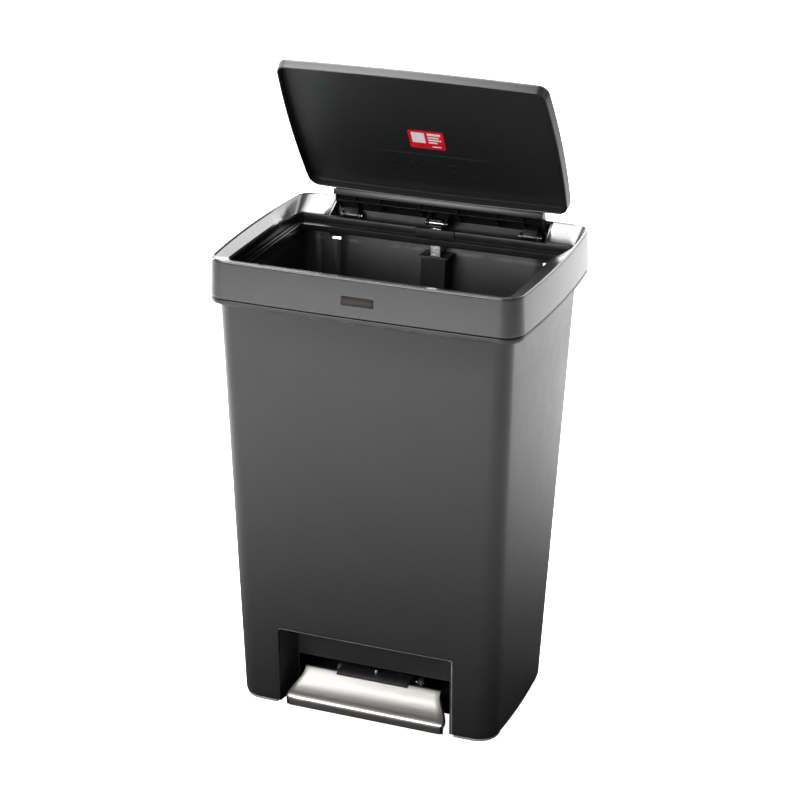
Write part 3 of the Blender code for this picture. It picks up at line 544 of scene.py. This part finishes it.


# The shell's pale band at the lip's lower edge and its pale line round the recess are painted highlights.
SHELL = moulded("charcoal_moulded_plastic", (0.020, 0.0203, 0.021), 0.36,
                highlight_bands=[(LIP_BOTTOM, 4.0 * MM)], edges=[(RECESS_HALF_W, RECESS_TOP)],
                Specular_IOR_Level=0.6)
COLLAR = moulded("satin_gunmetal_collar", (0.030, 0.030, 0.031), 0.22, grain=0.000004, specks=0.2,
                 smear=0.012, Specular_IOR_Level=0.68, Coat_Weight=0.2, Coat_Roughness=0.12)
LID = moulded("charcoal_lid_plastic", (0.016, 0.0165, 0.0175), 0.34, grain=0.00003, specks=0.15,
              Specular_IOR_Level=0.5)
BLACK = moulded("black_mechanism_plastic", (0.008, 0.008, 0.009), 0.25, grain=0.00002, specks=0.12,
                Specular_IOR_Level=0.6)
BAY = moulded("black_base_plastic", (0.02, 0.02, 0.021), 0.45, Specular_IOR_Level=0.3)
STEEL = brushed("brushed_stainless_tread", (0.62, 0.595, 0.57), 0.32)
ZINC = brushed("bright_zinc", (0.72, 0.73, 0.75), 0.20, (1.0, 1.0, 0.1))
COATED = coated("black_powder_coat", (0.02, 0.021, 0.023), 0.36)
PAD = rubbery("grey_foot_pad", (0.42, 0.41, 0.4))
PLAQUE = brushed("bronze_plaque", (0.034, 0.027, 0.024), 0.4, Coat_Weight=0.3)


def sticker():
    """Red printed label: a pale speckled square and plain white bars, all in the lid's own plane."""
    made = Surface("red_sticker", Specular_IOR_Level=0.5)
    across = made.x
    y, z = made.y - HINGE_Y, made.z - HINGE_Z
    down = y * math.cos(LID_OPEN) - z * math.sin(LID_OPEN) + HINGE_Y

    def inside(value, low, high):
        return (value > low * MM) * (value < high * MM)

    base = made.mix(made.ramp(made.noise(60.0), 0.3, 0.7), (0.60, 0.008, 0.022), (0.72, 0.012, 0.03))
    square = inside(across, -20.0, -2.0) * inside(down, -16.5, 2.0)
    speck = made.cells(900.0) < 0.36
    base = made.mix(square, base, (0.85, 0.82, 0.82))
    base = made.mix(square * speck * 0.75, base, (0.42, 0.30, 0.31))
    bars = inside(across, 2.0, 20.0) * inside(down, -16.5, -12.6)
    for top, end in ((-10.4, 17.0), (-5.8, 20.0), (-1.2, 14.0)):
        bars = bars + inside(across, 2.0, end) * inside(down, top, top + 2.6)
    bars = bars + inside(across, 6.0, 18.0) * inside(down, 6.4, 8.4)
    base = made.mix(bars, base, (0.86, 0.80, 0.80))
    made.paint(Base_Color=base, Roughness=made.ramp(made.noise(300.0), 0.3, 0.7, 0.32, 0.42))
    made.bump(made.noise(500.0), 0.00004, 0.4)
    return made.material


STICKER = sticker()


# ---- main pieces ---------------------------------------------------------------------------
SHELL_SIZES = [    # at the foot and at SHELL_TOP_Z, in mm
    (179.0, 193.6),      # half width
    (-134.0, -148.7),    # front
    (105.0, 140.7),      # rear
    (3.1, 5.0),          # bow of the sides
    (0.9, 2.4),          # bow of the front and rear
    (30.0, 22.0),        # front corners
    (55.0, 24.0),        # rear corners
]


def shell_plan(z, inset=0.0):
    """Plan of the tapered shell at a height, moved in by inset."""
    t = (z - FLOOR_GAP) / (SHELL_TOP_Z - FLOOR_GAP)
    plan = outline(*[(foot + (top - foot) * t) * MM for foot, top in SHELL_SIZES])
    return grow(plan, -inset)


COLLAR_PLAN = outline(203.8 * MM, -152.4 * MM, 152.4 * MM, 5.8 * MM, 2.4 * MM, 25.0 * MM)
WELL_PLAN = outline(194.0 * MM, -137.0 * MM, WELL_REAR, 0.6 * MM, 0.4 * MM, 12.0 * MM)


def recess_plan(spread, back_extra, front_y):
    """Plan of the pedal recess, which narrows towards its back."""
    wide, narrow = RECESS_HALF_W + spread, RECESS_REAR_HALF_W + spread
    back = RECESS_BACK_Y + back_extra
    return [(-wide, front_y), (wide, front_y), (narrow, back), (-narrow, back)]


def recess_void():
    """Room in the shell's foot for the pedal, with rounded top corners."""
    plan = recess_plan(0.0, 0.0, -150.0 * MM)
    radius = 4.5 * MM
    rings = [(plan, -5.0 * MM)]
    for step in range(9):
        angle = math.radians(90.0 * step / 8)
        draw_in = radius * (1 - math.cos(angle))
        rings.append(([(x - math.copysign(draw_in, x), y) for x, y in plan],
                      RECESS_TOP - radius + radius * math.sin(angle)))
    return loft(rings)


def make_shell():
    lip = grow(COLLAR_PLAN, 1.65 * MM)
    rings = [
        (shell_plan(BIN_FLOOR_Z, SHELL_WALL + 3.0 * MM), BIN_FLOOR_Z),
        (shell_plan(BIN_FLOOR_Z + 1.0 * MM, SHELL_WALL + 0.9 * MM), BIN_FLOOR_Z + 0.9 * MM),
        (shell_plan(BIN_FLOOR_Z + 3.0 * MM, SHELL_WALL), BIN_FLOOR_Z + 3.0 * MM),
        (shell_plan(330 * MM, SHELL_WALL), 330 * MM),
        (shell_plan(SHELL_RIM_Z - 0.6 * MM, SHELL_WALL), SHELL_RIM_Z - 0.6 * MM),
        (shell_plan(SHELL_RIM_Z, SHELL_WALL - 0.8 * MM), SHELL_RIM_Z),
        (shell_plan(SHELL_RIM_Z, 0.8 * MM), SHELL_RIM_Z),
        (shell_plan(SHELL_RIM_Z - 0.6 * MM), SHELL_RIM_Z - 0.6 * MM),
        (shell_plan(LIP_TOP), LIP_TOP),
        (grow(lip, -1.0 * MM), LIP_TOP),
        (grow(lip, -0.3 * MM), LIP_TOP - 0.3 * MM),
        (lip, LIP_TOP - 1.0 * MM),
        (lip, LIP_BOTTOM + 1.6 * MM),
        (grow(lip, -0.45 * MM), LIP_BOTTOM + 0.45 * MM),
        (grow(lip, -1.6 * MM), LIP_BOTTOM),
        (shell_plan(LIP_BOTTOM, -1.4 * MM), LIP_BOTTOM),
        (shell_plan(LIP_BOTTOM, -0.4 * MM), LIP_BOTTOM - 0.4 * MM),
        (shell_plan(LIP_BOTTOM), LIP_BOTTOM - 1.6 * MM),
    ]
    for z in (500, 420, 340, 260, 190, 150, 118, 90, 60, 35, 14):
        rings.append((shell_plan(z * MM), z * MM))
    rings += [
        (shell_plan(8.0 * MM), 8.0 * MM),
        (shell_plan(5.4 * MM, 0.35 * MM), 5.4 * MM),
        (shell_plan(FLOOR_GAP, 1.2 * MM), FLOOR_GAP),
        (shell_plan(FLOOR_GAP, SHELL_WALL), FLOOR_GAP),
        (shell_plan(BIN_FLOOR_Z - 3 * MM, SHELL_WALL), BIN_FLOOR_Z - 3 * MM),
    ]
    shell = new_object("shell", loft(rings), SHELL)
    block = recess_plan(2.5 * MM, 2.5 * MM, -132.5 * MM)
    slot = ((-RECESS_REAR_HALF_W + 1.5 * MM, RECESS_BACK_Y - 1 * MM, -1 * MM),
            (RECESS_REAR_HALF_W - 1.5 * MM, RECESS_BACK_Y + 8 * MM, RECESS_EDGE_Z))
    steps = [
        ("UNION", loft([(block, FLOOR_GAP), (block, BIN_FLOOR_Z - 2.5 * MM)])),
        ("DIFFERENCE", recess_void()),
        ("DIFFERENCE", box(*slot)),
        ("DIFFERENCE", box((-11 * MM, 88 * MM, 115 * MM), (11 * MM, 98 * MM, 128 * MM))),
    ]
    for side in (-1, 1):
        low, high = [(side * x, y, z) for x, y, z in (SLIT_LOW, SLIT_HIGH)]
        steps.append(("DIFFERENCE", box(low, high)))
    carve(shell, steps)
    soften(shell, 0.7 * MM)
    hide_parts("body_shell")
    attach(shell, "bin")


def ear(x_from, x_to):
    """Hinge ear that stands on the ledge, round at its top."""
    foot = [(HINGE_Y - EAR_RADIUS - 2 * MM, LEDGE_Z - 1 * MM),
            (HINGE_Y + EAR_RADIUS + 2 * MM, LEDGE_Z - 1 * MM)]
    return slab(foot + arc(HINGE_Y, HINGE_Z, EAR_RADIUS, 0.0, 180.0, 16), x_from, x_to)


def raise_mouth(mesh):
    """Lift the mouth's edge away from the hinge, so that its deck lies nearly level at the sides."""
    for vertex in mesh.vertices:
        if abs(vertex.co.z - WELL_TOP) < 2.0 * MM:
            share = ease((MOUTH_REAR - vertex.co.y) / MOUTH_FADE)
            vertex.co.x *= 1.0 - MOUTH_DRAW[0] * share
            vertex.co.y *= 1.0 - MOUTH_DRAW[1] * share
            vertex.co.z += MOUTH_LIFT * share
    return mesh


def make_collar():
    inner = grow(COLLAR_PLAN, -2.8 * MM)
    mouth = grow(WELL_PLAN, 0.3 * MM)
    rim, edge = grow(COLLAR_PLAN, -3.4 * MM), grow(mouth, 0.9 * MM)
    rim_z, edge_z = COLLAR_TOP - 1.2 * MM, WELL_TOP + 0.8 * MM

    def deck(share):
        plan = [(x + (u - x) * share, y + (v - y) * share) for (x, y), (u, v) in zip(rim, edge)]
        return plan, rim_z + (edge_z - rim_z) * share

    rings = [
        (grow(COLLAR_PLAN, 1.9 * MM), COLLAR_BOTTOM),
        (grow(COLLAR_PLAN, 2.45 * MM), COLLAR_BOTTOM + 0.25 * MM),
        (grow(COLLAR_PLAN, 2.6 * MM), COLLAR_BOTTOM + 1.0 * MM),
        (grow(COLLAR_PLAN, 2.5 * MM), COLLAR_BOTTOM + 2.5 * MM),
        (grow(COLLAR_PLAN, 1.95 * MM), 585.2 * MM),
        (grow(COLLAR_PLAN, 1.15 * MM), 598.8 * MM),
        (grow(COLLAR_PLAN, 0.2 * MM), COLLAR_TOP - 3.4 * MM),
        (grow(COLLAR_PLAN, 0.1 * MM), COLLAR_TOP - 2.0 * MM),
        (grow(COLLAR_PLAN, -0.25 * MM), COLLAR_TOP - 0.8 * MM),
        (grow(COLLAR_PLAN, -0.9 * MM), COLLAR_TOP - 0.15 * MM),
        (grow(COLLAR_PLAN, -1.8 * MM), COLLAR_TOP),
        (grow(COLLAR_PLAN, -2.7 * MM), COLLAR_TOP - 0.35 * MM),
        deck(0.0), deck(0.05), deck(0.95), deck(1.0),
        (grow(mouth, 0.25 * MM), WELL_TOP + 0.1 * MM),
        (mouth, WELL_TOP - 0.4 * MM),
        (mouth, WELL_TOP - 1.1 * MM),
        (grow(inner, -1.0 * MM), COLLAR_TOP - 4.2 * MM),
        (grow(inner, 2.4 * MM), COLLAR_BOTTOM + 0.3 * MM),
        (grow(inner, 2.9 * MM), COLLAR_BOTTOM),
    ]
    collar = new_object("collar", raise_mouth(loft(rings, loop=True)), COLLAR)
    side = POCKET_HALF_W + 2.8 * MM
    badge_low = (-BADGE_HALF_W, -165 * MM, BADGE_LOW)
    badge_high = (BADGE_HALF_W, BADGE_SEAT_Y, BADGE_HIGH)
    carve(collar, [
        ("DIFFERENCE", box((-side, 112 * MM, CUT_LOW), (side, 150.1 * MM, CUT_HIGH))),
        ("DIFFERENCE", box(badge_low, badge_high)),
    ])
    soften(collar, 0.4 * MM)
    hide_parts("top_collar")
    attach(collar, "bin")


def make_inner_frame():
    top = WELL_TOP - 1.6 * MM
    bottom = LEDGE_Z - LEDGE_THICK
    ledge, wall = grow(WELL_PLAN, -5.0 * MM), grow(WELL_PLAN, FRAME_WALL)
    rings = [
        (WELL_PLAN, top),
        (WELL_PLAN, LEDGE_Z + 4.0 * MM),
        (WELL_PLAN, LEDGE_Z + 1.0 * MM),
        (grow(WELL_PLAN, -0.3 * MM), LEDGE_Z + 0.3 * MM),
        (grow(WELL_PLAN, -1.0 * MM), LEDGE_Z),
        (ledge, LEDGE_Z),
        (ledge, bottom),
        (wall, bottom),
        (wall, LEDGE_Z + 4.0 * MM),
        (wall, top),
    ]
    inner = new_object("well_frame", raise_mouth(loft(rings, loop=True)), BLACK)
    front, rear, crest = WELL_REAR + 0.6 * MM, POCKET_REAR + 1.6 * MM, 616.8 * MM
    wedge = [(front, bottom), (rear, bottom), (rear, crest), (147 * MM, crest), (122 * MM, 603 * MM),
             (front, 600.2 * MM)]
    side = POCKET_HALF_W + 2.4 * MM
    pocket_low = (-POCKET_HALF_W, WELL_REAR + 1.9 * MM, LEDGE_Z)
    pocket_high = (POCKET_HALF_W, POCKET_REAR, CUT_HIGH)
    steps = [
        ("UNION", slab(wedge, -side, side)),
        ("DIFFERENCE", box(pocket_low, pocket_high)),
    ]
    ears = ((KNUCKLE_IN - EAR_REACH, KNUCKLE_IN - EAR_GAP), (KNUCKLE_OUT + EAR_GAP, KNUCKLE_OUT + EAR_REACH))
    for side in (-1, 1):
        for low, high in ears:
            bore = rod_x(HINGE_Y, HINGE_Z, side * (low - 1 * MM), side * (high + 1 * MM), PIN_BORE, 24)
            steps.append(("UNION", ear(side * low, side * high)))
            steps.append(("DIFFERENCE", bore))
    steps += [
        ("DIFFERENCE", box((-20 * MM, WELL_REAR - 2 * MM, LEDGE_Z), (20 * MM, WELL_REAR + 4 * MM, 0.61))),
        ("DIFFERENCE", box((-16 * MM, WELL_REAR - 1 * MM, 0.58), (16 * MM, 134 * MM, 0.59))),
    ]
    carve(inner, steps)
    soften(inner, 0.5 * MM)
    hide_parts("inner_frame")
    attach(inner, "bin")


def make_liner():
    seat = LEDGE_Z + 0.3 * MM
    outer = grow(WELL_PLAN, -0.4 * MM)
    inner = grow(WELL_PLAN, -8.3 * MM)
    rings = [
        (outer, seat), (outer, seat + 1.4 * MM), (grow(outer, -0.5 * MM), seat + 2.0 * MM),
        (grow(outer, -1.5 * MM), seat + 1.8 * MM), (grow(outer, -2.0 * MM), seat + 1.2 * MM),
        (grow(inner, 1.6 * MM), seat + 1.2 * MM), (grow(inner, 0.7 * MM), seat + 1.6 * MM),
        (grow(inner, 0.15 * MM), seat + 1.2 * MM), (inner, seat + 0.4 * MM), (inner, seat - 6.6 * MM),
        (grow(inner, 0.7 * MM), seat - 7.0 * MM), (grow(inner, 1.5 * MM), seat - 6.6 * MM),
        (grow(inner, 1.5 * MM), seat),
    ]
    ring = new_object("bag_ring", loft(rings, loop=True), BLACK)
    soften(ring, 0)
    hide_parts("liner_ring")
    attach(ring, "bin")


LID_HALF_W = 179.8
LID_FRONT_HALF_W = 178.0


def lid_plan(spread):
    """Plan of the closed lid, slightly narrower at its front, moved out by spread."""
    plan = outline(LID_HALF_W * MM, LID_FRONT, LID_REAR, 3.65 * MM, 2.47 * MM, 12.9 * MM, 16.6 * MM)
    length = LID_REAR - LID_FRONT
    taper = LID_FRONT_HALF_W / LID_HALF_W - 1
    shaped = [(x * (1 + taper * (LID_REAR - y) / length), y) for x, y in plan]
    return grow(shaped, spread)


def shrink(plan, share):
    """Scale a plan about the lid's centre."""
    centre = (LID_FRONT + LID_REAR) / 2
    return [(x * share, centre + (y - centre) * share) for x, y in plan]


def make_lid():
    wall = -2.4 * MM
    under, top = [], []
    for step in range(9):
        share = 0.06 + 0.105 * step
        sag = (1 - share ** 2) * 1.6 * MM
        under.append((shrink(lid_plan(-6 * MM), share), LID_TOP_Z - 2.6 * MM + sag))
        top.append((shrink(lid_plan(-4 * MM), share), LID_TOP_Z + 0.1 * MM + sag))
    rings = under + [
        (lid_plan(wall - 5.0 * MM), LID_TOP_Z - 2.7 * MM),
        (lid_plan(wall - 2.0 * MM), LID_TOP_Z - 3.2 * MM),
        (lid_plan(wall - 0.5 * MM), LID_TOP_Z - 4.4 * MM),
        (lid_plan(wall), LID_TOP_Z - 6.0 * MM),
        (lid_plan(wall + 0.2 * MM), LID_RIM_Z + 0.7 * MM),
        (lid_plan(wall + 0.9 * MM), LID_RIM_Z),
        (lid_plan(-0.8 * MM), LID_RIM_Z),
        (lid_plan(0.0), LID_RIM_Z + 0.7 * MM),
        (lid_plan(1.15 * MM), LID_TOP_Z - 5.0 * MM),
        (lid_plan(1.55 * MM), LID_TOP_Z - 3.0 * MM),
        (lid_plan(1.5 * MM), LID_TOP_Z - 1.9 * MM),
        (lid_plan(1.0 * MM), LID_TOP_Z - 0.9 * MM),
        (lid_plan(0.2 * MM), LID_TOP_Z - 0.3 * MM),
        (lid_plan(-1.4 * MM), LID_TOP_Z),
    ] + top[::-1]
    lid = new_object("lid_panel", open_lid(loft(rings)), LID)
    soften(lid, 0)
    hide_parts("lid_shell")
    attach(lid, "lid")


def disc(radius, depth):
    """Short upright cylinder round the origin."""
    bm = bmesh.new()
    bmesh.ops.create_cone(bm, cap_ends=True, segments=20, radius1=radius, radius2=radius, depth=depth)
    return to_mesh(bm, "disc")


def make_lid_details():
    """Label, the fine raised lines and rings under the lid, and the rail along its hinge edge."""
    plan = outline(24.3 * MM, -20.3 * MM, 12.3 * MM, 0.01 * MM, 0.01 * MM, 3.0 * MM, sides=3, turns=6)
    label = new_object("label", open_lid(loft([(plan, LABEL_LOW), (plan, LABEL_HIGH)])), STICKER)
    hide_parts("lid_label")
    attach(label, "lid")
    pieces = []
    for low, high, y in RAISED_LINES:
        bar = box((low * MM, (y - 0.35) * MM, 620.7 * MM), (high * MM, (y + 0.35) * MM, 622.0 * MM))
        pieces.append(new_object(f"raised_line_{len(pieces) + 1}", open_lid(bar), LID))
    for radius, count, x, y, step in RAISED_RINGS:
        ring = new_object("ring", disc(radius * MM, 1.3 * MM))
        carve(ring, [("DIFFERENCE", disc((radius - 0.7) * MM, 3 * MM))])
        mesh = ring.data
        bpy.data.objects.remove(ring, do_unlink=True)
        rings = row_of(f"raised_rings_{len(pieces) + 1}", mesh, count, (x * MM, y * MM, 621.4 * MM),
                       (step * MM, 0.0, 0.0), LID)
        open_lid(rings.data)
        pieces.append(rings)
    for piece in pieces:
        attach(piece, "lid")
    rail = new_object("hinge_rail", slab(RAIL_FACE, -RAIL_HALF_W, RAIL_HALF_W), LID)
    soften(rail, 0.45 * MM)
    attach(rail, "lid")


# ---- pedal ---------------------------------------------------------------------------------
# Sizes in mm. CORE_FROM is the point of the finer line where the black core starts.
TREAD_SHEET = 1.2
TREAD_HALF_W = 111.0
TREAD_FLARE = 15.5
TREAD_CORNER = 8.0
TREAD_CORNER_Y = -128.5
TREAD_COLUMNS = 12
CORE_FROM = 28
CORE_NEAR = 1.6
CORE_FAR = 4.6
CORE_SPARE = 1.4
TREAD_LINE = [    # (y, z) of the tread's side profile, from its bead to its front edge
    (-97.6, 41.5), (-97.4, 43.4), (-98.2, 45.0), (-99.8, 45.9), (-101.6, 45.7), (-102.9, 44.6),
    (-104.6, 42.9), (-107.8, 39.4), (-111.9, 34.8), (-116.4, 29.6), (-121.2, 24.6), (-127.0, 19.8),
    (-131.6, 16.6), (-134.2, 14.0), (-135.3, 10.8), (-135.6, 6.6), (-135.8, 1.8),
]


def smooth_line(points, fine=4):
    """Catmull-Rom curve through points."""
    line = []
    for index in range(len(points) - 1):
        a, b, c, d = (Vector(points[min(max(index + k, 0), len(points) - 1)]) for k in (-1, 0, 1, 2))
        for step in range(fine):
            t = step / fine
            line.append(0.5 * (2 * b + (c - a) * t + (2 * a - 5 * b + 4 * c - d) * t * t
                               + (3 * b - a - 3 * c + d) * t ** 3))
    return line + [Vector(points[-1])]


def tread_half_width(y, z):
    """The tread flares in an S from its bead to its front edge, whose corners are rounded."""
    share = ease((z - 12.0) / 31.0)
    into = min(max(TREAD_CORNER_Y - y, 0.0), TREAD_CORNER)
    corner = math.sqrt(TREAD_CORNER ** 2 - into ** 2)
    return (TREAD_HALF_W - TREAD_FLARE * share - TREAD_CORNER + corner) * MM


def strip(outer, inner, spare=0.0):
    """Bent sheet between two side profiles, cut at each end to the tread's width."""
    bm = bmesh.new()
    rows = []
    halves = [tread_half_width(*point) + spare * MM for point in outer]
    columns = range(-TREAD_COLUMNS, TREAD_COLUMNS + 1)
    for line, order in ((outer, columns), (inner, reversed(columns))):
        for column in order:
            share = column / TREAD_COLUMNS
            rows.append([bm.verts.new((share * half, p.x * MM, p.y * MM)) for half, p in zip(halves, line)])
    for low, high in zip(rows, rows[1:] + rows[:1]):
        for i in range(len(outer) - 1):
            bm.faces.new((low[i], low[i + 1], high[i + 1], high[i]))
    for i in (0, -1):
        bm.faces.new([row[i] for row in rows])
    return to_mesh(bm, "strip")


def inset(line, distance):
    """Offset an open profile to its left."""
    moved = []
    for index, point in enumerate(line):
        run = (line[min(index + 1, len(line) - 1)] - line[max(index - 1, 0)]).normalized()
        moved.append(point + Vector((-run.y, run.x)) * distance)
    return moved


def make_pedal():
    line = smooth_line(TREAD_LINE)
    tread = new_object("pedal_tread", strip(line, inset(line, TREAD_SHEET)), STEEL)
    soften(tread, 0.3 * MM, angle=50.0)
    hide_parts("pedal_cover")
    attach(tread, "pedal")
    low = line[CORE_FROM:]
    core = new_object("pedal_base", strip(inset(low, CORE_NEAR), inset(low, CORE_FAR), CORE_SPARE), BLACK)
    soften(core, 0.4 * MM, angle=50.0)
    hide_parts("pedal_core")
    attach(core, "pedal")


make_shell()
make_collar()
make_inner_frame()
make_liner()
make_lid()
make_lid_details()
make_pedal()

# ---- frame pieces that keep their shape ------------------------------------------------------
KEPT = {
    "badge_plate": (PLAQUE, 0.3), "bar_guide_cover": (BAY, 0.3), "hinge_pin_left": (ZINC, 0.2),
    "hinge_pin_right": (ZINC, 0.2), "lid_hinge_web": (BLACK, 0.3), "crank_pin": (ZINC, 0.2),
    "pedal_lever": (COATED, 0.4), "pedal_screw": (ZINC, 0.3),
    "pedal_axle": (ZINC, 0.3), "axle_bracket_left": (BAY, 0.4), "axle_bracket_right": (BAY, 0.4),
    "lift_bar": (ZINC, 0.3), "lift_bar_head": (BLACK, 0.3), "bar_channel": (SHELL, 0.4),
    "bar_guide_bush": (BAY, 0.4), "base_plate": (BAY, 0.4), "foot_front_left": (PAD, 0.3),
    "foot_front_right": (PAD, 0.3), "foot_rear_left": (PAD, 0.3), "foot_rear_right": (PAD, 0.3),
    "base_screw_1": (ZINC, 0.2), "base_screw_2": (ZINC, 0.2), "base_screw_3": (ZINC, 0.2),
    "base_screw_4": (ZINC, 0.2),
}
for name, (material, width) in KEPT.items():
    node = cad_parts[name]
    node.data.materials.clear()
    node.data.materials.append(material)
    soften(node, width * MM, live=True)


# ---- studio --------------------------------------------------------------------------------
CAMERA_ANGLES = (20.84, 22.56, 0.38)    # turn, lift and roll in degrees
CAMERA_PLACE = (0.9898, -2.6076, 1.5625)
CAMERA_LENS = 104.72
CAMERA_SENSOR = 36.0
ROOM_LIGHT = 0.10
LAMPS = {    # place, aim, (width, height), watts
    "front_pool": ((-0.8, -2.3, 1.3), (-0.7, -1.5, 0.0), (1.8, 1.0), 64),
    "back_panel": ((0.2, 2.6, 1.5), (0.0, 0.0, 0.6), (4.4, 2.3), 118),
    "back_right": ((1.7, 1.35, 2.2), (0.0, 0.0, 0.6), (1.2, 1.2), 18),
    "rear_pool": ((-1.1, 0.9, 2.4), (-1.0, 0.8, 0.0), (1.3, 1.2), 58),
    "overhead": ((-0.5, 0.5, 2.3), (-0.1, 0.15, 0.6), (1.5, 0.9), 45),
    "back_left": ((-2.4, 3.0, 0.95), (0.0, 0.0, 0.5), (2.2, 1.8), 50),
    "left_strip": ((-1.9, 0.35, 1.0), (0.0, 0.0, 0.45), (0.4, 1.4), 40),
    "near_left": ((-0.74, -0.76, 1.05), (-0.1, -0.12, 0.0), (0.35, 0.35), 1.1),
    "right_side": ((1.9, -0.1, 1.5), (0.0, 0.0, 0.5), (0.9, 1.0), 2),
}


def make_camera():
    """Long lens a little above and to the right of the front."""
    turn, lift, roll = map(math.radians, CAMERA_ANGLES)
    back = Vector((math.sin(turn) * math.cos(lift), -math.cos(turn) * math.cos(lift), math.sin(lift)))
    right = Vector((math.cos(turn), math.sin(turn), 0.0))
    up = back.cross(right)
    side = right * math.cos(roll) + up * math.sin(roll)
    head = up * math.cos(roll) - right * math.sin(roll)
    data = bpy.data.cameras.new("camera")
    data.sensor_width = CAMERA_SENSOR
    data.lens = CAMERA_LENS
    camera = bpy.data.objects.new("camera", data)
    place = Matrix((side, head, back)).transposed().to_4x4()
    place.translation = CAMERA_PLACE
    camera.matrix_world = place
    bpy.context.scene.collection.objects.link(camera)
    bpy.context.scene.camera = camera


def area_light(name, place, aim, size, power):
    """Rectangular soft lamp that looks at a point."""
    data = bpy.data.lights.new(name, "AREA")
    data.shape = "RECTANGLE"
    data.size, data.size_y = size
    data.energy = power
    light = bpy.data.objects.new(name, data)
    light.location = place
    light.rotation_euler = (Vector(aim) - Vector(place)).to_track_quat("-Z", "Y").to_euler()
    bpy.context.scene.collection.objects.link(light)


def make_paper():
    """White paper that glows evenly to the camera; mirrored in the bin, it darkens near the foot with a
    painted shadow.
    """
    paper = Surface("white_paper", Roughness=0.9, Specular_IOR_Level=0.0, Emission_Color=WHITE)
    seen = paper.node("ShaderNodeLightPath", out="Is Camera Ray")
    away = paper.node("ShaderNodeVectorMath", {"operation": "LENGTH"}, out="Value", i0=paper.place)
    # Painted shadow: to all but camera rays the paper is dark near the bin and paler further off.
    shade = paper.ramp(away, 0.25, 1.25, 0.05, 0.85).larger(seen)
    grey = paper.node("ShaderNodeCombineColor", i0=shade, i1=shade, i2=shade)
    paper.paint(Base_Color=grey, Emission_Strength=seen)
    return paper.material


def make_floor():
    bm = bmesh.new()
    bmesh.ops.create_grid(bm, x_segments=1, y_segments=1, size=30.0)
    mesh = bpy.data.meshes.new("floor")
    bm.to_mesh(mesh)
    bm.free()
    floor = new_object("floor", mesh, make_paper())
    floor.location.z = -0.2 * MM


def make_room():
    """Even, dim room light with a white background to the camera."""
    world = bpy.data.worlds.new("studio")
    bpy.context.scene.world = world
    world.use_nodes = True
    tree = world.node_tree
    room = tree.nodes["Background"]
    room.inputs["Color"].default_value = WHITE
    room.inputs["Strength"].default_value = ROOM_LIGHT
    seen = tree.nodes.new("ShaderNodeBackground")
    pick = tree.nodes.new("ShaderNodeMixShader")
    path = tree.nodes.new("ShaderNodeLightPath")
    seen.inputs["Color"].default_value = WHITE
    tree.links.new(path.outputs["Is Camera Ray"], pick.inputs[0])
    tree.links.new(room.outputs[0], pick.inputs[1])
    tree.links.new(seen.outputs[0], pick.inputs[2])
    tree.links.new(pick.outputs[0], tree.nodes["World Output"].inputs[0])
    bpy.context.scene.view_settings.view_transform = "Standard"


make_camera()
make_floor()
make_room()
for name, settings in LAMPS.items():
    area_light(name, *settings)
